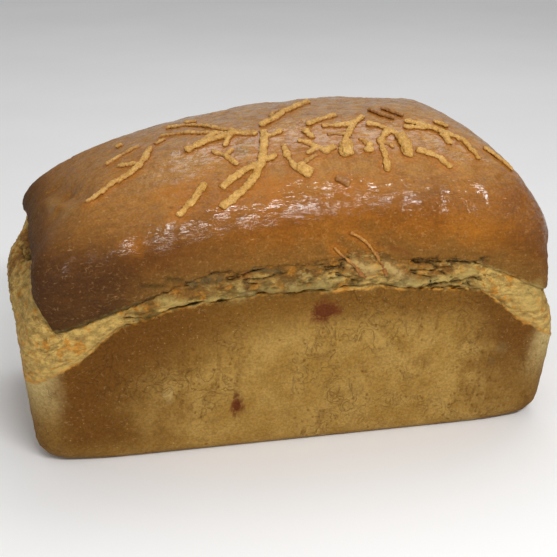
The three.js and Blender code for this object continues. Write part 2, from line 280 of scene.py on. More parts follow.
def new_group(name: str, kind: str, inputs: dict, outputs: dict) -> tuple:
    """Makes an empty node group with named sockets.

    Args:
        name: The group's name.
        kind: ShaderNodeTree or GeometryNodeTree.
        inputs: Socket type of each input, or a pair of socket type and default value.
        outputs: Socket type of each output.

    Returns:
        The tree, its writer, its input sockets by name and its output node.
    """
    tree = bpy.data.node_groups.new(name, kind)
    for socket_name, given in inputs.items():
        socket_type, default = given if isinstance(given, tuple) else (given, None)
        socket = tree.interface.new_socket(socket_name, in_out="INPUT", socket_type=socket_type)
        if default is not None:
            socket.default_value = default
    for socket_name, socket_type in outputs.items():
        tree.interface.new_socket(socket_name, in_out="OUTPUT", socket_type=socket_type)
    writer = NodeWriter(tree)
    entry = writer.node("NodeGroupInput")
    leave = writer.node("NodeGroupOutput")
    return tree, writer, {socket.name: socket for socket in entry.outputs if socket.name}, leave


def run_tree(piece: bpy.types.Object, tree: bpy.types.NodeTree, values: dict) -> bpy.types.Object:
    """Runs a Geometry Nodes tree on a piece and keeps the result as its plain mesh.

    Args:
        piece: The object to change.
        tree: The tree, whose first input is the geometry.
        values: Value of each named input.

    Returns:
        The same object.
    """
    modifier = piece.modifiers.new(tree.name, "NODES")
    modifier.node_group = tree
    for item in tree.interface.items_tree:
        if item.item_type == "SOCKET" and item.in_out == "INPUT" and item.name in values:
            modifier[item.identifier] = values[item.name]
    graph = bpy.context.evaluated_depsgraph_get()
    mesh = bpy.data.meshes.new_from_object(piece.evaluated_get(graph), depsgraph=graph)
    piece.modifiers.remove(modifier)
    old = piece.data
    piece.data = mesh
    mesh.name = piece.name
    bpy.data.meshes.remove(old)
    return piece


def new_object(name: str, mesh: bpy.types.Mesh) -> bpy.types.Object:
    """Puts a mesh in the scene as an object at the origin.

    Args:
        name: Name of the object.
        mesh: Its mesh.

    Returns:
        The object.
    """
    piece = bpy.data.objects.new(name, mesh)
    bpy.context.scene.collection.objects.link(piece)
    return piece


def rides_on_loaf(piece: bpy.types.Object, node: str) -> None:
    """Makes a finished piece stand for a frame node and ride with the loaf.

    Args:
        piece: The finished piece.
        node: Name of the frame node.
    """
    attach(piece, "root")
    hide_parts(node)


# ---------------------------------------------------------------- the shape of the loaf


class Face(Enum):
    """The sides of the loaf that a crease or a stain can lie on."""

    TOP = "top"
    FRONT = "front"
    BACK = "back"


@dataclass(frozen=True)
class Outline:
    """The walk round the loaf, as stretches whose lengths are those at the tin's rim."""

    side: float = 106.0
    end: float = 50.0
    corner: float = 12.0

    def stretches(self) -> np.ndarray:
        """Works out the nine stretches, from the middle of the front round to it again.

        Returns:
            Their lengths, in order.
        """
        bend = self.corner * math.pi / 2
        return np.array([self.side, bend, 2 * self.end, bend, 2 * self.side, bend, 2 * self.end, bend,
                         self.side])

    def perimeter(self) -> float:
        """Length of the whole walk."""
        return float(self.stretches().sum())

    def points(self, turn: np.ndarray, left: Size, right: Size, half: Size,
               corner: Size) -> tuple[np.ndarray, np.ndarray]:
        """Places turns on a rectangle with round corners.

        Args:
            turn: Parts of a whole walk, from 0 to 1.
            left: Half length to the left.
            right: Half length to the right.
            half: Half width.
            corner: Corner radius.

        Returns:
            x and y of each turn.
        """
        lengths = self.stretches()
        starts = np.concatenate([[0.0], np.cumsum(lengths)[:-1]])
        walked = np.mod(turn, 1.0) * lengths.sum()
        stretch = np.searchsorted(starts, walked, side="right") - 1
        t = (walked - starts[stretch]) / lengths[stretch]
        sine, cosine = corner * np.sin(t * math.pi / 2), corner * np.cos(t * math.pi / 2)
        xr, xl, yb = right - corner, corner - left, half - corner
        xs = [xr * t, xr + sine, right + 0 * t, xr + cosine, xr + (xl - xr) * t,
              xl - sine, -left + 0 * t, xl - cosine, xl * (1 - t)]
        ys = [-half + 0 * t, -yb - cosine, yb * (2 * t - 1), yb + sine, half + 0 * t,
              yb + cosine, yb * (1 - 2 * t), -yb - sine, -half + 0 * t]
        return np.choose(stretch, xs), np.choose(stretch, ys)

    def corner_distance(self, turn: np.ndarray) -> np.ndarray:
        """Measures how far places on the walk are from the upright corners.

        Args:
            turn: Parts of a whole walk.

        Returns:
            Distance along the walk to the nearest corner, in millimetres.
        """
        lengths = self.stretches()
        total = lengths.sum()
        first = lengths[0] + lengths[1] / 2
        second = first + lengths[2] + lengths[1]
        corners = np.array([first, second, total - second, total - first])
        return np.abs(np.mod(turn, 1.0)[..., None] * total - corners).min(axis=-1)


@dataclass(frozen=True)
class TinWalls:
    """Sizes of the walls that baked against the tin."""

    left: float = 112.5
    right: float = 113.0
    half_width: float = 54.5
    draft: float = math.radians(5.8)
    rim_height: float = 70.0
    foot_corner: float = 13.0
    rim_corner: float = 12.0
    foot_round: float = 5.0
    foot_round_at_corner: float = 10.0

    def points(self, outline: Outline, turn: np.ndarray, z: np.ndarray, inset: np.ndarray) -> np.ndarray:
        """Places turns on the wall.

        Args:
            outline: The walk round the loaf.
            turn: Parts of a whole walk.
            z: Height of each point.
            inset: How far each point is moved inwards.

        Returns:
            Points, with x, y and z on the last axis.
        """
        lean = z * math.tan(self.draft) - inset
        rise = np.clip(z / self.rim_height, 0, 1)
        corner = self.foot_corner + (self.rim_corner - self.foot_corner) * rise - inset
        x, y = outline.points(turn, self.left + lean, self.right + lean, self.half_width + lean, corner)
        return np.stack([x, y, z + 0 * x], axis=-1)


@dataclass(frozen=True)
class Crown:
    """Sizes of the domed crown."""

    left: float = 113.0
    right: float = 109.5
    half_width: float = 65.0
    spring_height: float = 85.5
    root_height: float = 60.0
    corner: float = 14.0
    crest: float = 136.5
    crest_slope: float = 2.6
    crest_sag: float = 16.5
    crest_peak: float = 0.24
    ridge_half: float = 50.0
    fullness: float = 2.57
    roundness: float = 1.97
    plumpness: float = 3.3
    softening: float = 0.8
    tuck: float = 2.4
    right_flare: float = 5.0
    left_hollow: float = 3.2

    def crest_height(self, x: np.ndarray) -> np.ndarray:
        """Height of the ridge line over a place along the loaf."""
        u = x / self.right
        return self.crest + self.crest_slope * u - self.crest_sag * (u - self.crest_peak) ** 2

    def points(self, outline: Outline, turn: np.ndarray, rise: np.ndarray) -> np.ndarray:
        """Places turns on the crown.

        Args:
            outline: The walk round the loaf.
            turn: Parts of a whole walk.
            rise: 0 at the widest line, a right angle at the ridge, negative below the widest line.

        Returns:
            Points, with x, y and z on the last axis.
        """
        angle = np.clip(rise, 0, None)
        below = np.clip(-rise, 0, None)
        size = np.cos(angle) ** (2 / self.fullness)
        lift = np.sin(angle) ** (2 / self.roundness)
        tuck = self.tuck * below**2
        left, half = self.left - tuck, self.half_width - tuck
        right = self.right - tuck + self.right_flare * below**1.5
        x, y = outline.points(turn, left, right, half, self.corner)
        end = np.where(x > 0, right, left)
        power = self.plumpness
        reach = (np.abs(x / end) ** power + np.abs(y / half) ** power) ** (-1 / power)
        blend = (1 - size) ** self.softening
        x = x + (x * reach - x) * blend
        y = y + (y * reach - y) * blend
        hollow = self.left_hollow * np.clip(-x / left, 0, 1) ** 8
        hollow = hollow * (1 - np.clip(np.abs(y) / half, 0, 1) ** 4)
        x = x + hollow * size
        ridge = self.ridge_half * np.sin(math.pi / 2 * np.clip(x / right, -1, 1))
        ring_x = ridge + (x - ridge) * size
        drop = below * (self.spring_height - self.root_height)
        z = self.spring_height + (self.crest_height(ring_x) - self.spring_height) * lift - drop
        return np.stack([ring_x, y * size, z], axis=-1)

    def rise_at(self, height: np.ndarray) -> np.ndarray:
        """Finds where the crown reaches a height near the middle of the loaf.

        Args:
            height: Heights above the floor.

        Returns:
            The rise at each height.
        """
        over = height - self.spring_height
        share = np.clip(over / (self.crest_height(np.zeros(1)) - self.spring_height), 0, 1)
        dome = np.arcsin(share ** (self.roundness / 2))
        return np.where(over > 0, dome, over / (self.spring_height - self.root_height))


@dataclass(frozen=True)
class Girth:
    """A value that changes round the loaf, given at even steps from the middle of the front."""

    front_right: tuple[float, ...]
    right_end: tuple[float, ...]
    back: tuple[float, ...]
    left_end: tuple[float, ...]
    front_left: tuple[float, ...]

    def at(self, turn: np.ndarray) -> np.ndarray:
        """Works out the smooth value.

        Args:
            turn: Parts of a whole walk.

        Returns:
            The value at each turn.
        """
        values = np.array([*self.front_right, *self.right_end, *self.back, *self.left_end, *self.front_left])
        place = np.mod(turn, 1.0) * len(values)
        index = np.floor(place).astype(int)
        f = place - index
        a, b, c, d = (values[(index + k) % len(values)] for k in (-1, 0, 1, 2))
        square = (2 * a - 5 * b + 4 * c - d) * f**2
        cube = (-a + 3 * b - 3 * c + d) * f**3
        return 0.5 * (2 * b + (c - a) * f + square + cube)


@dataclass(frozen=True)
class Flap:
    """The pointed flap in which the crust hangs over the left front corner."""

    place: float = 588.0
    depth: float = 16.0
    fade_before: float = 10.0
    fade_after: float = 22.0

    def at(self, turn: np.ndarray, perimeter: float) -> np.ndarray:
        """Works out how far the flap reaches down.

        Args:
            turn: Parts of a whole walk.
            perimeter: Length of the whole walk.

        Returns:
            The reach at each turn.
        """
        past = np.mod(turn, 1.0) * perimeter - self.place
        fade = np.where(past < 0, self.fade_before, self.fade_after)
        return self.depth * np.exp(-np.abs(past) / fade)


@dataclass(frozen=True)
class Ripple:
    """A ragged but repeatable wave round the loaf, as a sum of waves with random phases."""

    height: float
    first: int
    last: int
    seed: int

    def at(self, turn: np.ndarray) -> np.ndarray:
        """Works out the wave.

        Args:
            turn: Parts of a whole walk.

        Returns:
            Its height at each turn.
        """
        random = np.random.default_rng(self.seed)
        total = np.zeros_like(turn)
        for wave in range(self.first, self.last + 1):
            size = (self.first / wave) ** 0.7
            total += size * random.normal() * np.sin(2 * math.pi * (wave * turn + random.random()))
        return self.height * total / math.sqrt(self.last - self.first + 1)


class Tint(Enum):
    """What a stain or a painted mark looks like, by the name of the mesh attribute that holds its strength.
    The dark tint is painted shade in grooves and in a hollow of the band; the pale tint is pale flecks and
    also painted highlight on raised ridges.
    """

    RED = "stain_red"
    GREY = "stain_grey"
    BROWN = "stain_brown"
    PALE = "pale_fleck_and_highlight"
    FUZZ = "stain_fuzz"
    DARK = "painted_shade"
    AMBER = "stain_amber"


@dataclass(frozen=True)
class Crease:
    """A soft groove or ridge along a short line in the crust.

    TOP lines are given by x and y, and the others by x and z. A negative height digs in.
    """

    face: Face
    start: tuple[float, float]
    end: tuple[float, float]
    width: float
    height: float
    tint: Tint | None = None

    def spread(self, points: np.ndarray) -> np.ndarray:
        """Works out how strongly the line acts.

        Args:
            points: Points of the skin, with x, y and z on the last axis.

        Returns:
            A strength from 0 to 1 for each point.
        """
        a, b, mask = face_plane(self.face, points)
        start, along = np.array(self.start), np.array(self.end) - np.array(self.start)
        t = np.clip(((a - start[0]) * along[0] + (b - start[1]) * along[1]) / float(along @ along), 0, 1)
        away = np.hypot(a - start[0] - t * along[0], b - start[1] - t * along[1])
        return mask * np.exp(-((away / self.width) ** 2))


@dataclass(frozen=True)
class Stain:
    """A patch of another colour in the crust, placed as a crease is. Some patches are painted shade, and
    some painted highlight.
    """

    tint: Tint
    face: Face
    centre: tuple[float, float]
    radii: tuple[float, float]
    strength: float = 1.0
    softness: float = 0.7


def face_plane(face: Face, points: np.ndarray) -> tuple[np.ndarray, np.ndarray, np.ndarray]:
    """Flattens points onto a face.

    Args:
        face: The face to look at.
        points: Points of the skin, with x, y and z on the last axis.

    Returns:
        The two coordinates on the face, and a mask that is 1 on the points that lie on it.
    """
    x, y, z = points[..., 0], points[..., 1], points[..., 2]
    if face is Face.TOP:
        return x, y, np.clip((z - 80) / 10, 0, 1)
    side = -1 if face is Face.FRONT else 1
    return x, z, np.clip(side * y / 10 - 2, 0, 1)


@dataclass
class LoafSkin:
    """The loaf's outside as one closed grid of rings, from the floor to the ridge."""

    outline: Outline = field(default_factory=Outline)
    walls: TinWalls = field(default_factory=TinWalls)
    crown: Crown = field(default_factory=Crown)
    flap: Flap = field(default_factory=Flap)
    columns: int = 840
    floor_rows: int = 2
    foot_rows: int = 4
    wall_rows: int = 22
    band_rows: int = 38
    lip_rows: int = 6
    crown_rows: int = 45
    cap_edge: Girth = Girth(
        (86, 90, 84.5, 83, 74), (62, 67, 71, 71, 68), (68, 75, 82, 85, 86, 84, 83, 79, 77),
        (82, 88, 88, 85, 84), (77, 78.5, 84, 86))
    wall_edge: Girth = Girth(
        (72, 71.5, 69.5, 66, 49), (40, 60, 66, 60, 42), (48, 64, 70, 72, 72, 71, 69, 64, 50),
        (40, 58, 64, 58, 40), (46, 62.5, 69.5, 72))
    swell: Girth = Girth(
        (2, 2, 2, 2, 1.5), (1, 2, 2.5, 2.5, 3), (3, 2.5, 2, 2, 2, 2, 2.5, 3, 3.5),
        (3.4, 4, 4.6, 4, 3.5), (3, 2.5, 2, 2))
    lip_depth: Girth = Girth(
        (0.3, 0.3, 0.5, 1.4, 2), (2, 1.6, 1.6, 1.6, 2), (1.8, 1.2, 0.6, 0.4, 0.3, 0.5, 1, 1.6, 2.2),
        (2.2, 1.6, 1.6, 2, 2.8), (3.4, 3, 0.9, 0.3))
    shelf_depth: Girth = Girth(
        (2.2, 1.5, 1.4, 1.1, 0.3), (0.2, 0.6, 1, 0.6, 0.2), (0.3, 1, 1.8, 2.2, 2.4, 2, 1.8, 1, 0.3),
        (0.2, 0.5, 0.8, 0.4, 0.2), (0.3, 1, 2.2, 2.8))
    wall_ripple: Ripple = Ripple(0.9, 9, 70, 3)
    cap_ripple: Ripple = Ripple(0.6, 7, 60, 5)
    shelf_ripple: Ripple = Ripple(0.9, 24, 90, 11)
    shelf_wander: Ripple = Ripple(0.03, 10, 50, 13)
    shelf_place: float = 0.11
    shelf_width: float = 0.055
    shelf_full: float = 2.2
    overhang_full: float = 3.0
    overhang_width: float = 0.09
    swell_place: float = 0.8
    swell_power: float = 1.5
    droop: float = 0.5
    floor_start: float = 0.04
    corner_reach: float = 1.5
    core_half: float = 60.0
    ridge_gap: float = 0.01
    creases: tuple[Crease, ...] = ()
    stains: tuple[Stain, ...] = ()

    def rings(self) -> tuple[np.ndarray, dict[str, np.ndarray]]:
        """Works out the smooth skin.

        Returns:
            Points by row and column in millimetres, and the values stored on them by name.
        """
        turn = np.arange(self.columns) / self.columns
        corner_distance = self.outline.corner_distance(turn)
        near = np.exp(-((corner_distance / (self.corner_reach * self.outline.corner)) ** 2))
        foot = self.walls.foot_round + (self.walls.foot_round_at_corner - self.walls.foot_round) * near
        edge = self.wall_edge.at(turn) + self.wall_ripple.at(turn)
        cap = self.cap_edge.at(turn) - self.flap.at(turn, self.outline.perimeter())
        cap += self.cap_ripple.at(turn)
        rows = []
        for row in range(self.floor_rows + 1):
            size = self.floor_start + (1 - self.floor_start) * row / self.floor_rows
            points = self.walls.points(self.outline, turn, 0 * turn, foot)
            rows.append(points * np.array([size, size, 1.0]))
        for row in range(1, self.foot_rows + 1):
            angle = math.pi / 2 * row / self.foot_rows
            z = foot * (1 - math.cos(angle))
            rows.append(self.walls.points(self.outline, turn, z, foot * (1 - math.sin(angle))))
        for row in range(1, self.wall_rows + 1):
            z = foot + (edge - foot) * row / self.wall_rows
            rows.append(self.walls.points(self.outline, turn, z, 0 * turn))
        wall_row = len(rows) - 1

        lip_rise = self.crown.rise_at(cap)
        lip = self.crown.points(self.outline, turn, lip_rise)
        core = np.clip(lip[:, 0], -self.core_half, self.core_half)
        out = np.stack([lip[:, 0] - core, lip[:, 1], 0 * turn], axis=-1)
        out /= np.linalg.norm(out, axis=-1, keepdims=True)
        lip_depth = self.lip_depth.at(turn)
        groove = lip - out * lip_depth[:, None]
        wall_top = rows[-1]
        swell = self.swell.at(turn)
        nicks, shades, places = {}, {}, {}
        shelf = self.shelf_depth.at(turn) * np.clip(1 + self.shelf_ripple.at(turn), 0.1, 1.7)
        level = self.shelf_place + self.shelf_wander.at(turn)
        for row in range(1, self.band_rows + 1):
            t = row / self.band_rows
            nick = shelf * np.exp(-(((t - level) / self.shelf_width) ** 2))
            bulge = swell * math.sin(math.pi * t**self.swell_place) ** self.swell_power - nick
            rows.append(wall_top + (groove - wall_top) * t + out * bulge[:, None])
            nicks[len(rows) - 1] = nick / self.shelf_full
            # Strength of the painted shade under the overhanging lip, strongest at the top of the band.
            fade = math.exp(-(((1 - t) / self.overhang_width) ** 2))
            shades[len(rows) - 1] = lip_depth / self.overhang_full * fade
            places[len(rows) - 1] = t + 0 * turn
        groove_row = len(rows) - 1
        for row in range(1, self.lip_rows + 1):
            t = row / self.lip_rows
            point = groove + (lip - groove) * t
            point[:, 2] -= self.droop * lip_depth * math.sin(math.pi * t)
            rows.append(point)
            # The lip's own underside carries the same painted shade, fading towards its edge.
            shades[len(rows) - 1] = lip_depth / self.overhang_full * (1 - 0.4 * t)
        lip_row = len(rows) - 1
        for row in range(1, self.crown_rows + 1):
            rise = lip_rise + (math.pi / 2 - self.ridge_gap - lip_rise) * row / self.crown_rows
            rows.append(self.crown.points(self.outline, turn, rise))

        grid = np.array(rows)
        walked = np.concatenate([np.zeros((1, self.columns)),
                                 np.cumsum(np.linalg.norm(np.diff(grid, axis=0), axis=-1), axis=0)])
        values = {
            "past_lip": walked - walked[lip_row],
            "past_wall": walked - walked[wall_row],
            "corner": np.broadcast_to(corner_distance, walked.shape),
        }
        values["past_lip"][: groove_row + 1] -= 1.0
        for name, given in (("nick", nicks), ("lip_shade", shades), ("band_place", places)):
            values[name] = np.zeros(walked.shape)
            for row, numbers in given.items():
                values[name][row] = numbers
        values["band_place"][groove_row:] = 1.0
        return grid, values

    @staticmethod
    def shift_to_frame(grid: np.ndarray) -> np.ndarray:
        """Works out the move that puts the middle of the skin over the middle of the frame's loaf.

        Args:
            grid: Points of the skin by row and column.

        Returns:
            The move, with no height.
        """
        low, high = (np.array(corner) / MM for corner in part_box("loaf"))
        shift = (low + high - grid.min(axis=(0, 1)) - grid.max(axis=(0, 1))) / 2
        return shift * np.array([1.0, 1.0, 0.0])

    def crease_offsets(self, grid: np.ndarray) -> np.ndarray:
        """Adds up the creases.

        Args:
            grid: Points of the skin by row and column.

        Returns:
            Height of all creases together at each point.
        """
        total = np.zeros(grid.shape[:2])
        for crease in self.creases:
            total += crease.height * crease.spread(grid)
        return total

    def stain_values(self, grid: np.ndarray) -> dict[str, np.ndarray]:
        """Works out where the crust is stained, and where shade and highlight are painted on it.

        Args:
            grid: Points of the skin by row and column.

        Returns:
            Strength of each tint at each point, by attribute name.
        """
        values = {tint.value: np.zeros(grid.shape[:2]) for tint in Tint}
        for stain in self.stains:
            a, b, mask = face_plane(stain.face, grid)
            u, v = (a - stain.centre[0]) / stain.radii[0], (b - stain.centre[1]) / stain.radii[1]
            angle = np.arctan2(v, u)
            ragged = 0.12 * np.sin(3 * angle + stain.centre[0]) + 0.07 * np.sin(7 * angle + stain.centre[1])
            inside = np.clip((1.25 - np.hypot(u, v) + ragged) / stain.softness, 0, 1)
            patch = stain.strength * mask * inside
            values[stain.tint.value] = np.maximum(values[stain.tint.value], patch)
        for crease in self.creases:
            if crease.tint:
                name = crease.tint.value
                values[name] = np.maximum(values[name], crease.spread(grid))
        return values

    def faces(self, row_count: int) -> list[tuple[int, ...]]:
        """Lists the faces of the closed grid: bands between rings, and a zip across both end rings.

        Args:
            row_count: How many rings there are.

        Returns:
            Point numbers of each face.
        """
        n = self.columns
        faces = []
        for row in range(row_count - 1):
            for k in range(n):
                a, b = row * n + k, row * n + (k + 1) % n
                faces.append((a, b, b + n, a + n))
        for first, up in ((0, False), ((row_count - 1) * n, True)):
            for k in range(n // 2):
                front, next_front = first + (n // 4 - k) % n, first + (n // 4 - k - 1) % n
                back, next_back = first + (n // 4 + k) % n, first + (n // 4 + k + 1) % n
                ring = [front, back, next_back, next_front]
                ring = list(dict.fromkeys(ring))
                faces.append(tuple(ring if up else ring[::-1]))
        return faces

    def build(self, name: str) -> bpy.types.Object:
        """Makes the smooth skin as an object with its stored values.

        Args:
            name: Name of the object.

        Returns:
            The object, without relief or material.
        """
        grid, values = self.rings()
        across = np.roll(grid, -1, axis=1) - np.roll(grid, 1, axis=1)
        up = np.gradient(grid, axis=0)
        normal = np.cross(across, up)
        normal /= np.maximum(np.linalg.norm(normal, axis=-1, keepdims=True), 1e-9)
        values.update(self.stain_values(grid))
        grid = grid + normal * self.crease_offsets(grid)[..., None] + self.shift_to_frame(grid)
        mesh = bpy.data.meshes.new(name)
        mesh.from_pydata((grid.reshape(-1, 3) * MM).tolist(), [], self.faces(len(grid)))
        for value_name, numbers in values.items():
            attribute = mesh.attributes.new(value_name, "FLOAT", "POINT")
            attribute.data.foreach_set("value", np.ascontiguousarray(numbers, dtype=np.float32).ravel())
        mesh.update()
        return new_object(name, mesh)


# ---------------------------------------------------------------- relief and melting


def stored(nodes: NodeWriter, name: str) -> Socket:
    """Reads a stored value inside a geometry tree.

    Args:
        nodes: The tree's writer.
        name: Name of the value.

    Returns:
        The value.
    """
    made = nodes.node("GeometryNodeInputNamedAttribute", data_type="FLOAT")
    made.inputs["Name"].default_value = name
    return made.outputs["Attribute"]


def finish_geometry(nodes: NodeWriter, geometry: Socket, material: Socket, leave: bpy.types.Node) -> None:
    """Ends a geometry tree: smooth shading, real instances and the material.

    Args:
        nodes: The tree's writer.
        geometry: The finished geometry.
        material: The tree's material input.
        leave: The tree's output node.
    """
    smooth = nodes.node("GeometryNodeSetShadeSmooth")
    real = nodes.node("GeometryNodeRealizeInstances")
    dress = nodes.node("GeometryNodeSetMaterial")
    nodes.feed(smooth.inputs["Geometry"], geometry)
    nodes.feed(real.inputs["Geometry"], smooth.outputs["Geometry"])
    nodes.feed(dress.inputs["Geometry"], real.outputs["Geometry"])
    nodes.feed(dress.inputs["Material"], material)
    nodes.feed(leave.inputs["Geometry"], dress.outputs["Geometry"])


def push_out(nodes: NodeWriter, geometry: Socket, height: Value) -> Socket:
    """Moves every point along its normal.

    Args:
        nodes: The tree's writer.
        geometry: The geometry to move.
        height: How far each point moves, in millimetres.

    Returns:
        The moved geometry.
    """
    scale = nodes.node("ShaderNodeVectorMath", operation="SCALE")
    nodes.feed(scale.inputs[0], nodes.node("GeometryNodeInputNormal").outputs[0])
    nodes.feed(scale.inputs["Scale"], nodes.times(height, MM))
    move = nodes.node("GeometryNodeSetPosition")
    nodes.feed(move.inputs["Geometry"], geometry)
    nodes.feed(move.inputs["Offset"], scale.outputs[0])
    return move.outputs["Geometry"]


def keep_value(nodes: NodeWriter, geometry: Socket, name: str, value: Value) -> Socket:
    """Stores a value on every point.

    Args:
        nodes: The tree's writer.
        geometry: The geometry.
        name: Name of the value.
        value: The value.

    Returns:
        The geometry that carries it.
    """
    keep = nodes.node("GeometryNodeStoreNamedAttribute", data_type="FLOAT", domain="POINT")
    keep.inputs["Name"].default_value = name
    nodes.feed(keep.inputs["Geometry"], geometry)
    nodes.feed(keep.inputs["Value"], value)
    return keep.outputs["Geometry"]


def relief_tree() -> bpy.types.NodeTree:
    """Builds the tree that roughens the loaf's skin.

    Returns:
        The tree. Its heights are millimetres.
    """
    number = "NodeSocketFloat"
    tree, nodes, given, leave = new_group(
        "loaf_relief", "GeometryNodeTree",
        {"Geometry": "NodeSocketGeometry", "Crown swell": (number, 2.6), "Crown dimple": (number, 1.5),
         "Crown wrinkle": (number, 1.3), "Layer spacing": (number, 3.6), "Ledge": (number, 0.9),
         "Crack": (number, 1.6), "Band lump": (number, 2.6), "Band fibre": (number, 1.6),
         "Band crumb": (number, 1.6), "Wall grain": (number, 0.9), "Wall fold": (number, 0.5),
         "Material": "NodeSocketMaterial"},
        {"Geometry": "NodeSocketGeometry"})
    place = nodes.stretch(nodes.node("GeometryNodeInputPosition").outputs[0], (1 / MM,) * 3)
    axes = nodes.node("ShaderNodeSeparateXYZ")
    nodes.feed(axes.inputs[0], place)
    past_lip, past_wall = stored(nodes, "past_lip"), stored(nodes, "past_wall")
    on_crown = nodes.ramp(past_lip, -0.5, 1.5)
    on_wall = nodes.ramp(past_wall, 0.6, -0.6)
    on_band = nodes.math("SUBTRACT", nodes.math("SUBTRACT", 1.0, on_crown), on_wall)
    calm = nodes.ramp(stored(nodes, "corner"), 42, 20)
    lively = nodes.math("SUBTRACT", 1.0, calm)

    swell = nodes.centred(nodes.noise(place, 38, 1), given["Crown swell"])
    dimple = nodes.centred(nodes.noise(place, 11, 2), given["Crown dimple"])
    wrinkle = nodes.noise(nodes.stretch(place, (0.6, 1, 1.5)), 4.2, 4, 0.62, 0.3)
    wrinkle = nodes.centred(wrinkle, given["Crown wrinkle"])
    crown = nodes.times(nodes.add(swell, dimple, wrinkle), on_crown)

    wander = nodes.centred(nodes.noise(nodes.stretch(place, (1, 1, 1.4)), 16, 4, 0.6), 8.0)
    level = nodes.add(nodes.math("DIVIDE", axes.outputs[2], given["Layer spacing"]), wander)
    level = nodes.math("FRACT", level)
    torn = nodes.times(nodes.ramp(nodes.noise(place, 15, 2), 0.42, 0.56), lively, on_band)
    ledge = nodes.times(nodes.math("SUBTRACT", 1.0, level), nodes.ramp(level, 0.0, 0.15), given["Ledge"])
    split = nodes.math("SUBTRACT", nodes.noise(nodes.stretch(place, (0.4, 0.4, 1.5)), 8, 3, 0.6, 0.5), 0.5)
    split = nodes.ramp(nodes.math("ABSOLUTE", split), 0.028, 0.004)
    split = nodes.times(split, nodes.ramp(nodes.noise(place, 17, 1), 0.5, 0.6), on_band, lively)
    lump = nodes.noise(nodes.stretch(place, (0.8, 0.8, 1.5)), 9, 3, 0.55, 0.5)
    fibre = nodes.noise(nodes.stretch(place, (0.45, 0.45, 1.4)), 2.6, 4, 0.65, 0.4)
    crumb = nodes.noise(place, 2.6, 4, 0.65, 0.3)
    rough = nodes.add(nodes.centred(lump, given["Band lump"]), nodes.centred(crumb, given["Band crumb"]),
                      nodes.centred(fibre, nodes.times(given["Band fibre"], lively)))
    layers = nodes.math("SUBTRACT", nodes.times(ledge, torn), nodes.times(split, given["Crack"]))
    band = nodes.add(layers, nodes.times(rough, on_band))

    grain = nodes.centred(nodes.noise(place, 6, 5, 0.6), given["Wall grain"])
    fold = nodes.math("ABSOLUTE", nodes.math("SUBTRACT", nodes.noise(place, 24, 2, 0.5, 1.4), 0.5))
    fold = nodes.times(nodes.ramp(fold, 0.03, 0.0), nodes.ramp(nodes.noise(place, 30, 1), 0.48, 0.6))
    wall = nodes.math("SUBTRACT", grain, nodes.times(fold, given["Wall fold"]))
    wall = nodes.times(wall, on_wall, nodes.ramp(axes.outputs[2], 0.5, 6))

    kept = keep_value(nodes, given["Geometry"], "crevice", split)
    kept = keep_value(nodes, kept, "torn_edge", nodes.times(nodes.ramp(level, 0.5, 0.1), torn))
    kept = keep_value(nodes, kept, "fold", nodes.times(fold, on_wall))
    moved = push_out(nodes, kept, nodes.add(crown, band, wall))
    finish_geometry(nodes, moved, given["Material"], leave)
    return tree


def melting_tree() -> bpy.types.NodeTree:
    """Builds the tree that turns a plain strip into a lumpy melted one.

    Returns:
        The tree. Its sizes are millimetres.
    """
    number = "NodeSocketFloat"
    tree, nodes, given, leave = new_group(
        "melting", "GeometryNodeTree",
        {"Geometry": "NodeSocketGeometry", "Voxel": (number, 0.4), "Lump height": (number, 1.2),
         "Lump size": (number, 4.0), "Grit height": (number, 0.5), "Rounding": ("NodeSocketInt", 4),
         "Plumping": (number, 0.35), "Material": "NodeSocketMaterial"},
        {"Geometry": "NodeSocketGeometry"})
    voxel = nodes.times(given["Voxel"], MM)
    fill = nodes.node("GeometryNodeMeshToVolume", resolution_mode="VOXEL_SIZE")
    nodes.feed(fill.inputs["Mesh"], given["Geometry"])
    nodes.feed(fill.inputs["Voxel Size"], voxel)
    nodes.feed(fill.inputs["Interior Band Width"], voxel)
    skin = nodes.node("GeometryNodeVolumeToMesh", resolution_mode="VOXEL_SIZE")
    nodes.feed(skin.inputs["Volume"], fill.outputs[0])
    nodes.feed(skin.inputs["Voxel Size"], voxel)
    skin.inputs["Threshold"].default_value = 0.2
    blur = nodes.node("GeometryNodeBlurAttribute", data_type="FLOAT_VECTOR")
    nodes.feed(blur.inputs["Value"], nodes.node("GeometryNodeInputPosition").outputs[0])
    nodes.feed(blur.inputs["Iterations"], given["Rounding"])
    ease = nodes.node("GeometryNodeSetPosition")
    nodes.feed(ease.inputs["Geometry"], skin.outputs[0])
    nodes.feed(ease.inputs["Position"], blur.outputs["Value"])
    place = nodes.stretch(nodes.node("GeometryNodeInputPosition").outputs[0], (1 / MM,) * 3)
    made = nodes.node("ShaderNodeTexNoise")
    nodes.feed(made.inputs["Vector"], place)
    nodes.feed(made.inputs["Scale"], nodes.math("DIVIDE", 1.0, given["Lump size"]))
    made.inputs["Detail"].default_value = 2.0
    grit = nodes.centred(nodes.noise(place, 1.3, 3, 0.6), given["Grit height"])
    height = nodes.add(nodes.centred(made.outputs[0], given["Lump height"]), grit, given["Plumping"])
    finish_geometry(nodes, push_out(nodes, ease.outputs["Geometry"], height), given["Material"], leave)
    return tree


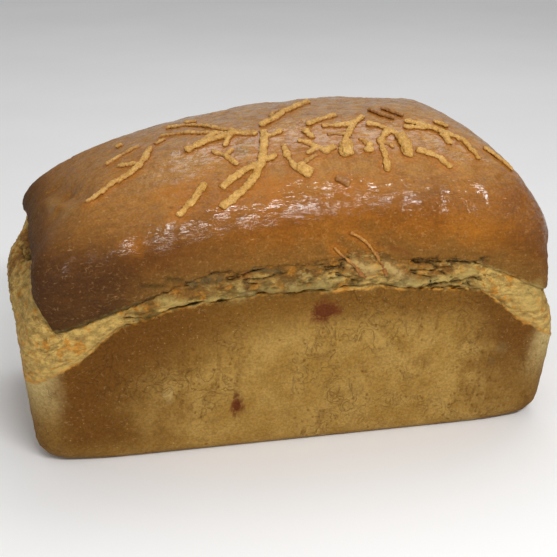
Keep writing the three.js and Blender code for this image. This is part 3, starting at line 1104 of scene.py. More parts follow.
@dataclass
class Topping:
    """Pieces that lie on or in the crust, each remade from its frame node."""

    tree: bpy.types.NodeTree
    voxel: float = 0.38
    lump_height: float = 2.7
    lump_size: float = 3.6
    grit_height: float = 1.5
    plumping: float = 0.15
    rounding: int = 7
    flatten: float = 0.66
    sink: float = 0.6
    clearance: float = 0.3

    def build(self, node: str, material: bpy.types.Material, skin: BVHTree) -> bpy.types.Object:
        """Remakes one piece.

        Args:
            node: Name of the frame node that it stands for.
            material: Its material.
            skin: The finished skin that it settles on.

        Returns:
            The finished piece, riding with the loaf.
        """
        mesh = bpy.data.meshes.new(f"melted_{node}")
        shape = bmesh.new()
        shape.from_mesh(frame["nodes"][node].data)
        bmesh.ops.remove_doubles(shape, verts=shape.verts, dist=0.01 * MM)
        shape.to_mesh(mesh)
        shape.free()
        piece = new_object(f"melted_{node}", mesh)
        values = {"Voxel": self.voxel, "Lump height": self.lump_height, "Lump size": self.lump_size,
                  "Grit height": self.grit_height, "Plumping": self.plumping, "Rounding": self.rounding,
                  "Material": material}
        run_tree(piece, self.tree, values)
        self.settle(piece, skin)
        rides_on_loaf(piece, node)
        return piece

    def settle(self, piece: bpy.types.Object, skin: BVHTree) -> None:
        """Flattens a piece against the skin and stores how far each point is lifted off it.

        Args:
            piece: The melted piece.
            skin: The finished skin.
        """
        lifts = []
        for vertex in piece.data.vertices:
            nearest, normal, _, _ = skin.find_nearest(vertex.co)
            away = vertex.co - nearest
            lift = away.length / MM
            direction = away.normalized() if lift > 0.05 else normal
            if direction.dot(normal) < 0:
                direction, lift = -direction, -lift
            lift = (lift - self.clearance) * self.flatten - self.sink
            vertex.co = nearest + direction * (lift * MM)
            lifts.append(lift)
        attribute = piece.data.attributes.new("lift", "FLOAT", "POINT")
        attribute.data.foreach_set("value", lifts)
        piece.data.update()


# ---------------------------------------------------------------- finishes


class SharedPatterns:
    """Shader node groups that several finishes use."""

    def __init__(self) -> None:
        """Builds the groups."""
        self.mottle = self.build_mottle()
        self.pores = self.build_pores()
        self.wrinkles = self.build_wrinkles()

    @staticmethod
    def build_mottle() -> bpy.types.NodeTree:
        """Builds broad patches and fine grain, both from 0 to 1.

        Returns:
            The node group.
        """
        number = "NodeSocketFloat"
        tree, nodes, given, leave = new_group(
            "mottle", "ShaderNodeTree",
            {"Position": "NodeSocketVector", "Patch size": (number, 20.0), "Grain size": (number, 1.5)},
            {"Patch": number, "Grain": number})
        for name, detail in (("Patch", 3.0), ("Grain", 4.0)):
            made = nodes.node("ShaderNodeTexNoise")
            nodes.feed(made.inputs["Vector"], given["Position"])
            nodes.feed(made.inputs["Scale"], nodes.math("DIVIDE", 1.0, given[f"{name} size"]))
            made.inputs["Detail"].default_value = detail
            made.inputs["Roughness"].default_value = 0.6
            nodes.feed(leave.inputs[name], nodes.ramp(made.outputs[0], 0.3, 0.7))
        return tree

    @staticmethod
    def build_pores() -> bpy.types.NodeTree:
        """Builds small round pores or flecks, 1 at the middle of each and 0 between them.

        Returns:
            The node group.
        """
        number = "NodeSocketFloat"
        tree, nodes, given, leave = new_group(
            "pores", "ShaderNodeTree",
            {"Position": "NodeSocketVector", "Spacing": (number, 3.0), "Cover": (number, 0.3),
             "Share": (number, 0.5)},
            {"Pore": number})
        made = nodes.node("ShaderNodeTexVoronoi", feature="F1")
        nodes.feed(made.inputs["Vector"], given["Position"])
        nodes.feed(made.inputs["Scale"], nodes.math("DIVIDE", 1.0, given["Spacing"]))
        lot = nodes.node("ShaderNodeSeparateColor")
        nodes.feed(lot.inputs[0], made.outputs["Color"])
        chosen = nodes.math("LESS_THAN", lot.outputs[0], given["Share"])
        pore = nodes.ramp(made.outputs["Distance"], given["Cover"], 0.03)
        nodes.feed(leave.inputs["Pore"], nodes.times(pore, chosen))
        return tree

    @staticmethod
    def build_wrinkles() -> bpy.types.NodeTree:
        """Builds thin wandering lines, 1 in the middle of each line and 0 between them.

        Returns:
            The node group.
        """
        number = "NodeSocketFloat"
        tree, nodes, given, leave = new_group(
            "wrinkles", "ShaderNodeTree",
            {"Position": "NodeSocketVector", "Size": (number, 8.0), "Width": (number, 0.02),
             "Stir": (number, 1.0)},
            {"Line": number})
        made = nodes.node("ShaderNodeTexNoise")
        nodes.feed(made.inputs["Vector"], given["Position"])
        nodes.feed(made.inputs["Scale"], nodes.math("DIVIDE", 1.0, given["Size"]))
        nodes.feed(made.inputs["Distortion"], given["Stir"])
        made.inputs["Detail"].default_value = 2.0
        away = nodes.math("ABSOLUTE", nodes.math("SUBTRACT", made.outputs[0], 0.5))
        nodes.feed(leave.inputs["Line"], nodes.ramp(away, given["Width"], 0.0))
        return tree


class ShaderWriter(NodeWriter):
    """Writes one material around its Principled shader."""

    def __init__(self, name: str, patterns: SharedPatterns) -> None:
        """Starts an empty material.

        Args:
            name: The material's name.
            patterns: The shared node groups.
        """
        self.material = bpy.data.materials.new(name)
        self.material.use_nodes = True
        super().__init__(self.material.node_tree)
        self.tree.nodes.clear()
        self.patterns = patterns
        self.shader = self.node("ShaderNodeBsdfPrincipled")
        output = self.node("ShaderNodeOutputMaterial")
        self.feed(output.inputs["Surface"], self.shader.outputs[0])
        coordinates = self.node("ShaderNodeTexCoord")
        self.place = self.stretch(coordinates.outputs["Object"], (1 / MM,) * 3)

    def set(self, **values: Fed) -> None:
        """Sets or joins the shader's sockets, by name with underscores for spaces."""
        for name, value in values.items():
            self.feed(self.shader.inputs[name.replace("_", " ")], value)

    def group(self, tree: bpy.types.NodeTree, position: Union[Socket, None] = None,
              **values: Value) -> bpy.types.Node:
        """Places a shared pattern with its own values.

        Args:
            tree: The pattern's node group.
            position: Where it is read, or None for the object's own position.
            **values: Its values, by name with underscores for spaces.

        Returns:
            The group's node.
        """
        made = self.node("ShaderNodeGroup", node_tree=tree)
        self.feed(made.inputs["Position"], self.place if position is None else position)
        for name, value in values.items():
            self.feed(made.inputs[name.replace("_", " ")], value)
        return made

    def stored(self, name: str) -> Socket:
        """Reads a value stored on the mesh."""
        return self.node("ShaderNodeAttribute", attribute_name=name).outputs["Fac"]

    def blend(self, factor: Value, first: Value, second: Value) -> Socket:
        """Mixes two numbers.

        Args:
            factor: Share of the second number.
            first: The first number.
            second: The second number.

        Returns:
            The mixed number.
        """
        made = self.node("ShaderNodeMix", data_type="FLOAT")
        self.feed(made.inputs[0], factor)
        self.feed(made.inputs[2], first)
        self.feed(made.inputs[3], second)
        return made.outputs[0]

    def shade(self, base: Socket, pattern: Value, dark: float, light: float) -> Socket:
        """Makes a colour darker and lighter by a pattern.

        Args:
            base: The colour.
            pattern: A pattern from 0 to 1.
            dark: Brightness where the pattern is 0.
            light: Brightness where it is 1.

        Returns:
            The shaded colour.
        """
        made = self.node("ShaderNodeVectorMath", operation="SCALE")
        self.feed(made.inputs[0], base)
        self.feed(made.inputs["Scale"], self.ramp(pattern, 0, 1, dark, light))
        return made.outputs[0]

    def bump(self, height: Value, distance: float) -> Socket:
        """Turns a height into a normal.

        Args:
            height: A height from 0 to 1.
            distance: Depth of the relief in millimetres.

        Returns:
            The normal.
        """
        made = self.node("ShaderNodeBump")
        made.inputs["Strength"].default_value = 1.0
        made.inputs["Distance"].default_value = distance * MM
        self.feed(made.inputs["Height"], height)
        return made.outputs["Normal"]


@dataclass(frozen=True)
class CrustFinish:
    """The loaf's colours and gloss, in display values."""

    crown: Rgb = (152, 94, 26)
    crown_deep: Rgb = (126, 72, 14)
    # Lighter tan of the upper crown: partly its own tone, partly painted sheen and light from above.
    crown_tan_and_sheen: Rgb = (172, 124, 62)
    crown_matte: Rgb = (150, 100, 40)
    crown_low: Rgb = (93, 54, 12)
    crown_edge: Rgb = (120, 84, 34)
    crown_burnt: Rgb = (72, 43, 16)
    crown_fleck: Rgb = (206, 160, 104)
    crown_pit: Rgb = (104, 58, 18)
    glow: Rgb = (166, 98, 26)
    torn_cream: Rgb = (190, 156, 86)
    torn_grey: Rgb = (180, 158, 98)
    torn_olive: Rgb = (120, 94, 42)
    torn_toast: Rgb = (134, 92, 38)
    torn_orange: Rgb = (190, 124, 36)
    # Painted shade for the cracks, the shelf nicks and the hollow under the lip.
    torn_gap_shade: Rgb = (56, 44, 18)
    wall: Rgb = (153, 115, 50)
    wall_light: Rgb = (172, 136, 70)
    wall_dark: Rgb = (104, 64, 14)
    wall_rim: Rgb = (120, 80, 24)
    corner_pale: Rgb = (186, 162, 106)
    corner_tan: Rgb = (128, 92, 38)
    stain_red: Rgb = (98, 44, 14)
    stain_grey: Rgb = (110, 92, 56)
    stain_brown: Rgb = (110, 58, 18)
    # Pale flecks, and painted highlight on raised ridges.
    pale_fleck_and_highlight: Rgb = (190, 160, 100)
    stain_fuzz: Rgb = (180, 154, 88)
    # Painted shade in grooves and in a hollow of the band.
    painted_shade: Rgb = (70, 52, 22)
    stain_amber: Rgb = (178, 106, 20)

    def crown_colour(self, nodes: ShaderWriter, x: Socket, z: Socket) -> Socket:
        """Writes the colour of the glazed crown.

        Args:
            nodes: The material's writer.
            x: Place along the loaf, in millimetres.
            z: Height, in millimetres.

        Returns:
            The colour.
        """
        broad = nodes.group(nodes.patterns.mottle, Patch_size=26.0, Grain_size=0.9)
        small = nodes.group(nodes.patterns.mottle, Patch_size=6.0, Grain_size=3.2)
        base = nodes.mix(nodes.times(broad.outputs["Patch"], 0.9), self.crown, self.crown_deep)
        # The upper crown turns lighter tan: partly the crust's own tone, partly painted sheen and light from
        # above.
        high = nodes.ramp(z, nodes.ramp(x, -95, -30, 88, 104), nodes.ramp(x, -95, -30, 116, 128))
        high = nodes.times(high, nodes.ramp(small.outputs["Patch"], 0.0, 0.8, 0.5, 1.0))
        base = nodes.mix(high, base, self.crown_tan_and_sheen)
        matte = nodes.times(nodes.ramp(x, -14, -80), nodes.ramp(small.outputs["Grain"], 0, 1, 0.65, 0.95))
        matte = nodes.times(matte, nodes.ramp(z, 128, 108, 0.35, 1.0))
        base = nodes.mix(matte, base, self.crown_matte)
        low = nodes.times(nodes.ramp(x, -10, -60), nodes.ramp(z, 112, 92), 0.9)
        right = nodes.times(nodes.ramp(x, 60, 104), nodes.ramp(z, 112, 88), 0.7)
        base = nodes.mix(nodes.math("MAXIMUM", low, right), base, self.crown_low)
        from_lip = nodes.add(nodes.stored("past_lip"), nodes.centred(small.outputs["Patch"], 6.0))
        edge = nodes.ramp(from_lip, 17, 1)
        base = nodes.mix(nodes.times(edge, 0.75), base, self.crown_edge)
        burnt = nodes.times(nodes.ramp(x, -56, -88), nodes.ramp(z, 101, 85),
                            nodes.ramp(broad.outputs["Patch"], 0, 1, 0.8, 1))
        base = nodes.mix(burnt, base, self.crown_burnt)
        base = nodes.mix(nodes.times(nodes.stored("near_cheese"), 0.65), base, self.glow)
        pits = nodes.group(nodes.patterns.pores, Spacing=4.2, Cover=0.26, Share=0.3)
        base = nodes.mix(nodes.times(pits.outputs["Pore"], 0.55), base, self.crown_pit)
        streak = nodes.stretch(nodes.place, (0.4, 0.9, 1.0))
        streak = nodes.bend(streak, 2.2, 1.6)
        flecks = nodes.group(nodes.patterns.pores, streak, Spacing=2.2, Cover=0.26, Share=0.2)
        fleck = nodes.times(flecks.outputs["Pore"], nodes.ramp(small.outputs["Grain"], 0.3, 0.8, 0.0, 0.5))
        base = nodes.mix(fleck, base, self.crown_fleck)
        base = nodes.shade(base, nodes.noise(streak, 3.0, 4, 0.65), 0.72, 1.28)
        return nodes.shade(base, broad.outputs["Grain"], 0.86, 1.14)

    def band_colour(self, nodes: ShaderWriter, x: Socket) -> Socket:
        """Writes the colour of the torn band.

        Args:
            nodes: The material's writer.
            x: Place along the loaf, in millimetres.

        Returns:
            The colour.
        """
        t = nodes.stored("band_place")
        calm = nodes.ramp(nodes.stored("corner"), 52, 34)
        lively = nodes.math("SUBTRACT", 1.0, calm)
        patches = nodes.noise(nodes.stretch(nodes.place, (0.8, 0.8, 1.6)), 7, 4, 0.62)
        fine = nodes.noise(nodes.stretch(nodes.place, (0.6, 0.6, 1.2)), 2.4, 4, 0.65)
        base = nodes.mix(nodes.ramp(patches, 0.4, 0.6), self.torn_cream, self.torn_olive)
        calm_base = nodes.mix(nodes.ramp(patches, 0.5, 0.68, 0, 0.6), self.torn_cream, self.torn_toast)
        base = nodes.mix(calm, base, calm_base)
        toasted = nodes.ramp(nodes.add(t, nodes.centred(patches, 1.6)), 0.35, 0.75)
        base = nodes.mix(nodes.times(toasted, lively), base, self.torn_toast)
        orange = nodes.ramp(nodes.noise(nodes.place, 4.2, 4, 0.65), 0.52, 0.64)
        base = nodes.mix(nodes.times(orange, 0.75), base, self.torn_orange)
        grey = nodes.ramp(nodes.noise(nodes.place, 12, 3), 0.5, 0.6)
        grey = nodes.times(grey, nodes.ramp(t, 0.62, 0.3), lively)
        torn_edge = nodes.times(nodes.stored("torn_edge"), nodes.ramp(fine, 0.42, 0.6))
        grey = nodes.math("MAXIMUM", grey, torn_edge)
        grey = nodes.times(grey, nodes.ramp(x, -66, -48, 0.1, 0.75))
        base = nodes.mix(grey, base, self.torn_grey)
        fringe = nodes.times(nodes.ramp(t, 0.1, 0.02), nodes.ramp(fine, 0.35, 0.55))
        base = nodes.mix(nodes.times(fringe, 0.7), base, self.torn_orange)
        # The cracks, the shelf nicks and the hollow under the overhanging lip are darkened: painted shade.
        gap_shade = nodes.math("MAXIMUM", nodes.stored("crevice"), nodes.ramp(nodes.stored("nick"), 0.35, 0.95))
        gap_shade = nodes.math("MAXIMUM", gap_shade, nodes.ramp(nodes.stored("lip_shade"), 0.3, 0.8))
        base = nodes.mix(nodes.times(gap_shade, 0.88), base, self.torn_gap_shade)
        return nodes.shade(base, nodes.ramp(fine, 0.3, 0.7), 0.66, 1.2)

    def wall_colour(self, nodes: ShaderWriter, x: Socket, z: Socket, line: Socket) -> Socket:
        """Writes the colour of the walls that touched the tin.

        Args:
            nodes: The material's writer.
            x: Place along the loaf, in millimetres.
            z: Height, in millimetres.
            line: Strength of the thin wrinkles.

        Returns:
            The colour.
        """
        mottle = nodes.group(nodes.patterns.mottle, Patch_size=14.0, Grain_size=1.1)
        corner, past_wall = nodes.stored("corner"), nodes.stored("past_wall")
        base = nodes.mix(mottle.outputs["Patch"], self.wall, self.wall_light)
        ragged = nodes.centred(mottle.outputs["Patch"], 12.0)
        wide = nodes.ramp(x, -5, -45, -20, -36)
        rim = nodes.ramp(nodes.add(past_wall, nodes.times(ragged, 0.4)), wide, -5.0)
        base = nodes.mix(nodes.times(rim, 0.95), base, self.wall_rim)
        base = nodes.mix(nodes.times(rim, nodes.ramp(x, -26, -60), 0.9), base, self.wall_dark)
        margin = nodes.ramp(nodes.add(corner, ragged), nodes.ramp(x, -30, 20, 80, 50), 20)
        margin = nodes.times(margin, nodes.ramp(z, 1, nodes.ramp(x, -20, 20, 12, 48), 0.4, 1.0))
        base = nodes.mix(nodes.times(margin, 0.95), base, self.wall_dark)
        strip = nodes.ramp(nodes.add(corner, nodes.times(ragged, 0.3)), 15, 4)
        pale = nodes.mix(nodes.ramp(z, 14, 46), self.corner_tan, self.corner_pale)
        base = nodes.mix(strip, base, pale)
        base = nodes.mix(nodes.times(line, 0.4), base, self.wall_dark)
        base = nodes.mix(nodes.times(nodes.stored("fold"), 0.5), base, self.wall_dark)
        ragged_place = nodes.bend(nodes.place, 1.5, 1.2)
        pits = nodes.group(nodes.patterns.pores, ragged_place, Spacing=2.6, Cover=0.42, Share=0.4)
        pitted = nodes.ramp(nodes.noise(nodes.place, 30, 2), 0.44, 0.56, 0.12, 0.75)
        base = nodes.mix(nodes.times(pits.outputs["Pore"], pitted), base, self.wall_dark)
        specks = nodes.group(nodes.patterns.pores, ragged_place, Spacing=1.5, Cover=0.3, Share=0.12)
        base = nodes.mix(nodes.times(specks.outputs["Pore"], 0.5), base, self.pale_fleck_and_highlight)
        return nodes.shade(base, mottle.outputs["Grain"], 0.84, 1.14)

    def build(self, patterns: SharedPatterns) -> bpy.types.Material:
        """Builds the crust's material.

        Args:
            patterns: The shared node groups.

        Returns:
            The material.
        """
        nodes = ShaderWriter("crust", patterns)
        axes = nodes.node("ShaderNodeSeparateXYZ")
        nodes.feed(axes.inputs[0], nodes.place)
        x, _, z = axes.outputs
        ragged = nodes.centred(nodes.noise(nodes.place, 3, 4, 0.65), 5.0)
        past_lip, past_wall = nodes.stored("past_lip"), nodes.stored("past_wall")
        on_crown = nodes.ramp(nodes.add(past_lip, nodes.times(ragged, 0.6)), -0.9, 0.5)
        on_wall = nodes.ramp(nodes.add(past_wall, ragged), 1.0, -0.8)

        some_walls = nodes.ramp(nodes.noise(nodes.place, 26, 2), 0.47, 0.58)
        wrinkles = nodes.group(patterns.wrinkles, Size=9.0, Width=0.022, Stir=1.6)
        line = nodes.times(wrinkles.outputs["Line"], some_walls)
        base = nodes.mix(on_crown, self.band_colour(nodes, x), self.crown_colour(nodes, x, z))
        base = nodes.mix(on_wall, base, self.wall_colour(nodes, x, z, line))
        blotch = nodes.ramp(nodes.noise(nodes.place, 1.7, 4, 0.65), 0.34, 0.54, 0.3, 1.0)
        # The tints hold stains, and also painted shade and painted highlight.
        for tint in Tint:
            strength = nodes.times(nodes.stored(tint.value), blotch, 0.9)
            base = nodes.mix(strength, base, getattr(self, tint.value))
        dashes = nodes.group(patterns.wrinkles, nodes.stretch(nodes.place, (0.6, 1.0, 1.2)),
                             Size=2.2, Width=0.05, Stir=0.8)
        some_dashes = nodes.ramp(nodes.noise(nodes.place, 1.8, 2), 0.5, 0.66)
        threads = nodes.times(dashes.outputs["Line"], some_dashes)
        base = nodes.mix(nodes.times(threads, nodes.blend(on_crown, 0.22, 0.18)), base, self.crown_fleck)

        streaks = nodes.noise(nodes.stretch(nodes.place, (0.38, 1.0, 1.5)), 2.4, 3, 0.6, 0.4)
        pores = nodes.group(patterns.pores, Spacing=2.3, Cover=0.32, Share=0.4)
        pitted = nodes.times(pores.outputs["Pore"], nodes.ramp(nodes.noise(nodes.place, 18, 2), 0.45, 0.6))
        fine = nodes.noise(nodes.place, 1.2, 5, 0.65)
        glazed = nodes.ramp(nodes.noise(nodes.place, 22, 3, 0.6), 0.32, 0.5, 0.6, 1.0)
        glossy = nodes.times(on_crown, nodes.ramp(past_lip, 12, 34), nodes.ramp(x, -92, -40, 0.25, 1.0),
                             glazed)
        rough = nodes.ramp(glossy, 0.0, 1.0, 0.8, 0.46)
        dents = nodes.noise(nodes.stretch(nodes.place, (0.5, 1.0, 1.3)), 5.0, 3, 0.6)
        crown_height = nodes.add(nodes.times(streaks, 1.3), nodes.times(fine, 0.7), nodes.times(dents, 1.6))
        broken = nodes.noise(nodes.stretch(nodes.place, (0.5, 1.2, 1.5)), 2.2, 4, 0.7, 0.5)
        coat = nodes.times(glossy, nodes.ramp(broken, 0.42, 0.56, 0.1, 1.0))
        plain_height = nodes.add(nodes.times(fine, 1.6), nodes.times(pitted, -0.6), nodes.times(line, -0.6),
                                 nodes.times(threads, 0.3))
        height = nodes.blend(on_crown, plain_height, crown_height)
        glaze = nodes.bump(nodes.add(streaks, nodes.times(fine, 0.22)), 0.24)
        nodes.set(Base_Color=base, Roughness=rough, Specular_IOR_Level=0.15, Normal=nodes.bump(height, 0.5),
                  Coat_Weight=coat, Coat_Roughness=0.06, Coat_IOR=1.6, Coat_Normal=glaze)
        return nodes.material


@dataclass(frozen=True)
class MeltFinish:
    """Finish of the cheese and of the filling pieces, in display values."""

    name: str
    top: Rgb
    patch: Rgb
    foot: Rgb
    roughness: float
    coat: float
    bump: float = 0.25
    specular: float = 0.3

    def build(self, patterns: SharedPatterns) -> bpy.types.Material:
        """Builds the material.

        Args:
            patterns: The shared node groups.

        Returns:
            The material.
        """
        nodes = ShaderWriter(self.name, patterns)
        mottle = nodes.group(patterns.mottle, Patch_size=6.0, Grain_size=0.8)
        base = nodes.mix(mottle.outputs["Patch"], self.top, self.patch)
        # Towards the foot, where the piece meets the crust, the colour turns to the foot colour: on the
        # cheese a darker brown that is partly browned edges and partly painted shade.
        base = nodes.mix(nodes.ramp(nodes.stored("lift"), 1.1, 0.0), base, self.foot)
        toasted = nodes.group(patterns.pores, nodes.bend(nodes.place, 1.2, 1.0), Spacing=1.7, Cover=0.4,
                              Share=0.3)
        base = nodes.mix(nodes.times(toasted.outputs["Pore"], 0.5), base, self.foot)
        base = nodes.shade(base, mottle.outputs["Grain"], 0.82, 1.14)
        rough = nodes.ramp(mottle.outputs["Grain"], 0, 1, self.roughness - 0.06, self.roughness + 0.1)
        nodes.set(Base_Color=base, Roughness=rough, Coat_Weight=self.coat, Coat_Roughness=0.2,
                  Specular_IOR_Level=self.specular,
                  Normal=nodes.bump(nodes.noise(nodes.place, 0.9, 3), self.bump))
        return nodes.material


# ---------------------------------------------------------------- the studio


@dataclass(frozen=True)
class Lamp:
    """A soft rectangular lamp. Distances are metres and angles are degrees."""

    name: str
    turn: float
    rise: float
    distance: float
    size: tuple[float, float]
    power: float


@dataclass(frozen=True)
class Studio:
    """Floor, lights and camera. Distances are metres and angles are degrees."""

    camera_turn: float = -12.5
    camera_rise: float = 20.0
    camera_distance: float = 0.567
    lens: float = 79.0
    sensor: float = 36.0
    aim: tuple[float, float, float] = (0.002, 0.0, 0.0565)
    floor_size: float = 6.0
    lamp_aim: float = 0.07
    backdrop_light: float = 0.42
    backdrop_seen: float = 0.9
    lamps: tuple[Lamp, ...] = (
        Lamp("key", turn=8, rise=37, distance=0.9, size=(0.4, 0.08), power=4.5),
        Lamp("front", turn=-30, rise=24, distance=1.3, size=(0.9, 0.7), power=1.4),
        Lamp("top", turn=150, rise=62, distance=1.1, size=(0.9, 0.6), power=3.2),
    )

    def direction(self, turn: float, rise: float) -> Vector:
        """Works out a direction from the loaf.

        Args:
            turn: Degrees round the loaf from its front.
            rise: Degrees above the floor.

        Returns:
            The direction, one unit long.
        """
        a, e = math.radians(turn), math.radians(rise)
        return Vector((math.sin(a) * math.cos(e), -math.cos(a) * math.cos(e), math.sin(e)))

    @staticmethod
    def aim_at(item: bpy.types.Object, target: Vector) -> None:
        """Turns a lamp or camera to look at a point."""
        item.rotation_euler = (target - item.location).to_track_quat("-Z", "Y").to_euler()

    def build_camera(self) -> bpy.types.Object:
        """Sets up the camera.

        Returns:
            The camera.
        """
        data = bpy.data.cameras.new("camera")
        data.lens = self.lens
        data.sensor_width = self.sensor
        data.clip_start = 0.01
        camera = bpy.data.objects.new("camera", data)
        bpy.context.scene.collection.objects.link(camera)
        target = Vector(self.aim) + Vector((0, sum(corner.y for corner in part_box("loaf")) / 2, 0))
        camera.location = target + self.direction(self.camera_turn, self.camera_rise) * self.camera_distance
        self.aim_at(camera, target)
        bpy.context.scene.camera = camera
        return camera

    def build_lamp(self, lamp: Lamp) -> bpy.types.Object:
        """Sets up one lamp that points at the loaf.

        Args:
            lamp: The lamp's sizes.

        Returns:
            The lamp.
        """
        data = bpy.data.lights.new(lamp.name, "AREA")
        data.shape = "RECTANGLE"
        data.size, data.size_y = lamp.size
        data.energy = lamp.power
        item = bpy.data.objects.new(lamp.name, data)
        bpy.context.scene.collection.objects.link(item)
        target = Vector((0, 0, self.lamp_aim))
        item.location = target + self.direction(lamp.turn, lamp.rise) * lamp.distance
        self.aim_at(item, target)
        return item

    def build_floor(self, patterns: SharedPatterns) -> bpy.types.Object:
        """Lays the pale floor.

        Args:
            patterns: The shared node groups.

        Returns:
            The floor.
        """
        half = self.floor_size / 2
        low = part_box("loaf")[0].z
        mesh = bpy.data.meshes.new("floor")
        corners = [(-half, -half, low), (half, -half, low), (half, half, low), (-half, half, low)]
        mesh.from_pydata(corners, [], [(0, 1, 2, 3)])
        floor = new_object("floor", mesh)
        nodes = ShaderWriter("pale_floor", patterns)
        mottle = nodes.group(patterns.mottle, Patch_size=300.0, Grain_size=2.0)
        tone = nodes.mix(mottle.outputs["Patch"], (246, 246, 246), (250, 250, 250))
        nodes.set(Base_Color=tone, Roughness=0.9)
        mesh.materials.append(nodes.material)
        return floor

    def build(self, patterns: SharedPatterns) -> None:
        """Sets up everything round the loaf.

        Args:
            patterns: The shared node groups.
        """
        scene = bpy.context.scene
        scene.view_settings.view_transform = "Standard"
        world = bpy.data.worlds.new("studio")
        world.use_nodes = True
        nodes = NodeWriter(world.node_tree)
        seen = nodes.node("ShaderNodeLightPath").outputs["Is Camera Ray"]
        backdrop = world.node_tree.nodes["Background"]
        backdrop.inputs["Color"].default_value = (1, 1, 1, 1)
        strength = nodes.ramp(seen, 0.0, 1.0, self.backdrop_light, self.backdrop_seen)
        nodes.feed(backdrop.inputs["Strength"], strength)
        scene.world = world
        self.build_camera()
        self.build_floor(patterns)
        for lamp in self.lamps:
            self.build_lamp(lamp)


# ---------------------------------------------------------------- the loaf


# Grooves that carry the dark tint are painted shade, and ridges that carry the pale tint are painted
# highlight.
CREASES: tuple[Crease, ...] = (
    Crease(Face.TOP, (-97, 10), (-94, -12), 4.5, -2.0),
    Crease(Face.TOP, (-94, -12), (-87, -32), 4.5, -2.2),
    Crease(Face.TOP, (-103, 2), (-97, -26), 2.6, 1.3),
    Crease(Face.TOP, (-97, -26), (-86, -42), 2.6, 1.2),
    Crease(Face.TOP, (-84, -47), (-74, -44), 0.9, 0.6),
    Crease(Face.TOP, (84, -49), (89, -50), 0.9, 0.5),
    Crease(Face.TOP, (72, -54), (78, -56), 0.9, 0.5),
    Crease(Face.TOP, (2, -34), (5, -26), 2.2, -0.5),
    Crease(Face.FRONT, (26, 94), (35, 90), 1.2, -0.5),
    Crease(Face.FRONT, (35, 90), (43, 87), 1.0, -0.8, Tint.BROWN),
    Crease(Face.FRONT, (46, 74), (60, 75), 1.3, 1.3, Tint.FUZZ),
    Crease(Face.FRONT, (60, 75), (73, 77), 1.3, 1.3, Tint.FUZZ),
    Crease(Face.FRONT, (45, 72), (60, 72.3), 0.8, -1.6, Tint.DARK),
    Crease(Face.FRONT, (60, 72.3), (75, 74), 0.8, -1.4, Tint.DARK),
    Crease(Face.FRONT, (47, 83), (61, 82), 0.7, -1.1, Tint.DARK),
    Crease(Face.FRONT, (61, 82), (75, 81), 0.7, -1.1, Tint.DARK),
    Crease(Face.FRONT, (75, 82), (77, 82), 1.3, -2.0, Tint.DARK),
    Crease(Face.FRONT, (-69, 82), (-59, 81), 0.7, -1.2, Tint.DARK),
    Crease(Face.FRONT, (-58, 84), (-52, 83), 0.8, -1.2, Tint.DARK),
    Crease(Face.FRONT, (-48, 81), (-37, 82.5), 1.7, -0.4, Tint.GREY),
    Crease(Face.FRONT, (-23, 85), (-12, 83.5), 0.9, -0.8, Tint.GREY),
    Crease(Face.FRONT, (-61, 75), (-51, 73.5), 1.5, 0.9, Tint.FUZZ),
    Crease(Face.FRONT, (-40, 74), (-27, 73), 1.5, 0.9, Tint.FUZZ),
    Crease(Face.FRONT, (-19, 77), (-12, 76), 1.3, 0.6, Tint.FUZZ),
    Crease(Face.FRONT, (-9, 75), (9, 76.5), 1.2, 0.9, Tint.FUZZ),
    # Pale tint along these two raised ridges: painted highlight.
    Crease(Face.FRONT, (18, 85), (27, 81.5), 2.2, 0.5, Tint.PALE),
    Crease(Face.FRONT, (33, 83), (39, 78.5), 1.8, 0.5, Tint.PALE),
    Crease(Face.BACK, (-50, 75), (-30, 76), 1.3, 1.1, Tint.FUZZ),
    Crease(Face.BACK, (10, 76), (34, 77), 1.3, 1.1, Tint.FUZZ),
    Crease(Face.BACK, (-20, 82), (-4, 81), 0.8, -1.2, Tint.DARK),
    Crease(Face.BACK, (38, 82), (52, 80), 0.8, -1.2, Tint.DARK),
    Crease(Face.BACK, (-62, 80), (-54, 81), 0.8, -1.0, Tint.DARK),
    Crease(Face.FRONT, (-58, 30), (-60, 33), 2.6, 0.6),
    Crease(Face.FRONT, (-66, 26), (-78, 14), 1.0, -0.5),
    Crease(Face.BACK, (40, 24), (62, 33), 1.2, -0.5),
    Crease(Face.BACK, (-70, 40), (-84, 28), 1.0, -0.5),
)

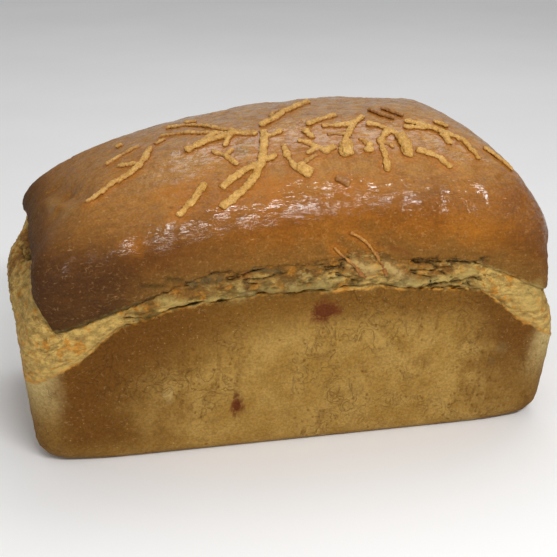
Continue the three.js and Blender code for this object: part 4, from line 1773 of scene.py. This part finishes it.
STAINS: tuple[Stain, ...] = (
    Stain(Tint.RED, Face.FRONT, (8.7, 63.4), (5.9, 4.2), 1.0, 0.16),
    Stain(Tint.RED, Face.FRONT, (-28.8, 21.7), (2.6, 4.4), 1.0, 0.2),
    Stain(Tint.RED, Face.FRONT, (-26, 80), (1.4, 4.6), 0.7),
    # A darker patch over the middle of the band: painted shade of its hollow.
    Stain(Tint.DARK, Face.FRONT, (-14, 78), (30, 7), 0.55, 1.2),
    Stain(Tint.BROWN, Face.FRONT, (-54, 92), (22, 9), 0.3, 1.2),
    # Pale strips along the raised ridge at the left of the crown: painted highlight.
    Stain(Tint.PALE, Face.TOP, (-99, -14), (2.5, 16), 0.22, 1.0),
    Stain(Tint.PALE, Face.TOP, (-93, -35), (6, 5), 0.2, 1.0),
    Stain(Tint.AMBER, Face.TOP, (-52, -48), (10, 4.5), 0.7, 1.1),
    Stain(Tint.AMBER, Face.TOP, (-38, -43), (6, 3), 0.6, 1.1),
    Stain(Tint.AMBER, Face.TOP, (-12, -54), (13, 6), 0.8, 1.1),
    Stain(Tint.AMBER, Face.TOP, (20, -56), (20, 5), 0.5, 1.1),
    Stain(Tint.AMBER, Face.FRONT, (-70, 98), (6, 4), 0.6, 1.1),
    Stain(Tint.AMBER, Face.FRONT, (76, 94), (18, 7), 0.25, 1.2),
    Stain(Tint.AMBER, Face.BACK, (-30, 98), (24, 7), 0.5, 1.2),
    Stain(Tint.AMBER, Face.BACK, (48, 100), (20, 6), 0.5, 1.2),
    Stain(Tint.GREY, Face.TOP, (-22, -35), (3.4, 3.2), 0.6),
    Stain(Tint.BROWN, Face.TOP, (55, -39), (1.2, 1.2), 0.7),
    Stain(Tint.GREY, Face.FRONT, (90, 38), (3.2, 2.6), 0.5),
    Stain(Tint.GREY, Face.FRONT, (86, 32), (1.8, 1.6), 0.45),
    Stain(Tint.PALE, Face.FRONT, (-58, 30), (2.2, 3.0), 0.8),
    Stain(Tint.FUZZ, Face.FRONT, (99, 63), (8, 7), 0.6),
    Stain(Tint.RED, Face.BACK, (-47, 52), (4.2, 3.6), 1.0, 0.3),
    Stain(Tint.RED, Face.BACK, (36, 30), (3.1, 4.3), 1.0, 0.3),
)


GOLDEN = MeltFinish(
    "golden_cheese", top=(214, 168, 92), patch=(190, 140, 62), foot=(146, 90, 34),
    roughness=0.45, coat=0.12, bump=0.6)
BROWNED = MeltFinish(
    "browned_cheese", top=(172, 124, 68), patch=(146, 94, 42), foot=(112, 64, 26),
    roughness=0.45, coat=0.2, bump=0.3)
FILLING = MeltFinish(
    "filling_skin", top=(114, 60, 24), patch=(84, 38, 14), foot=(98, 50, 20),
    roughness=0.65, coat=0.0, bump=0.8, specular=0.08)
DRAWN = MeltFinish(
    "drawn_cheese", top=(188, 134, 60), patch=(162, 106, 42), foot=(138, 80, 26),
    roughness=0.45, coat=0.15, bump=0.4)

GLOW_REACH = 2.4


def store_nearness(loaf: bpy.types.Object, pieces: list[bpy.types.Object], reach: float) -> None:
    """Stores on the loaf how near each point is to the cheese.

    Args:
        loaf: The loaf.
        pieces: The cheese.
        reach: Distance in millimetres over which the glow fades.
    """
    points = [vertex.co for piece in pieces for vertex in piece.data.vertices]
    tree = KDTree(len(points))
    for index, point in enumerate(points):
        tree.insert(point, index)
    tree.balance()
    values = [math.exp(-((tree.find(vertex.co)[2] / (reach * MM)) ** 2)) for vertex in loaf.data.vertices]
    attribute = loaf.data.attributes.new("near_cheese", "FLOAT", "POINT")
    attribute.data.foreach_set("value", values)


def main() -> None:
    """Builds the studio, the loaf and what lies on it."""
    logging.basicConfig(level=logging.INFO, format="%(name)s: %(message)s")
    patterns = SharedPatterns()
    Studio().build(patterns)

    crust = CrustFinish().build(patterns)
    drawn = DRAWN.build(patterns)

    loaf = LoafSkin(creases=CREASES, stains=STAINS).build("loaf_skin")
    run_tree(loaf, relief_tree(), {"Material": crust})
    skin = BVHTree.FromObject(loaf, bpy.context.evaluated_depsgraph_get())
    LOG.info("loaf_skin: %d faces", len(loaf.data.polygons))

    melting = melting_tree()
    cheese = Topping(melting)
    crumbs = Topping(melting, voxel=0.3, lump_height=1.2, grit_height=0.9, rounding=5, flatten=0.95,
                     sink=0.2)
    hanging = Topping(melting, voxel=0.3, lump_height=0.8, grit_height=0.6, plumping=-0.3, flatten=0.78)
    lumps = Topping(melting, voxel=0.3, lump_height=1.2, lump_size=3.5, grit_height=0.6, plumping=-0.1,
                    rounding=10, flatten=0.4, sink=0.25, clearance=0.0)
    finishes = {"cheese": (cheese, GOLDEN.build(patterns)),
                "browned_cheese": (crumbs, BROWNED.build(patterns)),
                "filling": (lumps, FILLING.build(patterns))}
    melted = []
    for row in frame["record"]["subparts"]:
        if row["material_slot"] not in finishes:
            continue
        maker, material = finishes[row["material_slot"]]
        if row["node"].startswith("hanging"):
            maker, material = hanging, drawn
        piece = maker.build(row["node"], material, skin)
        LOG.info("%s: %d faces", piece.name, len(piece.data.polygons))
        if maker is not lumps:
            melted.append(piece)
    store_nearness(loaf, melted, GLOW_REACH)
    rides_on_loaf(loaf, "loaf")


if __name__ == "__main__":
    main()
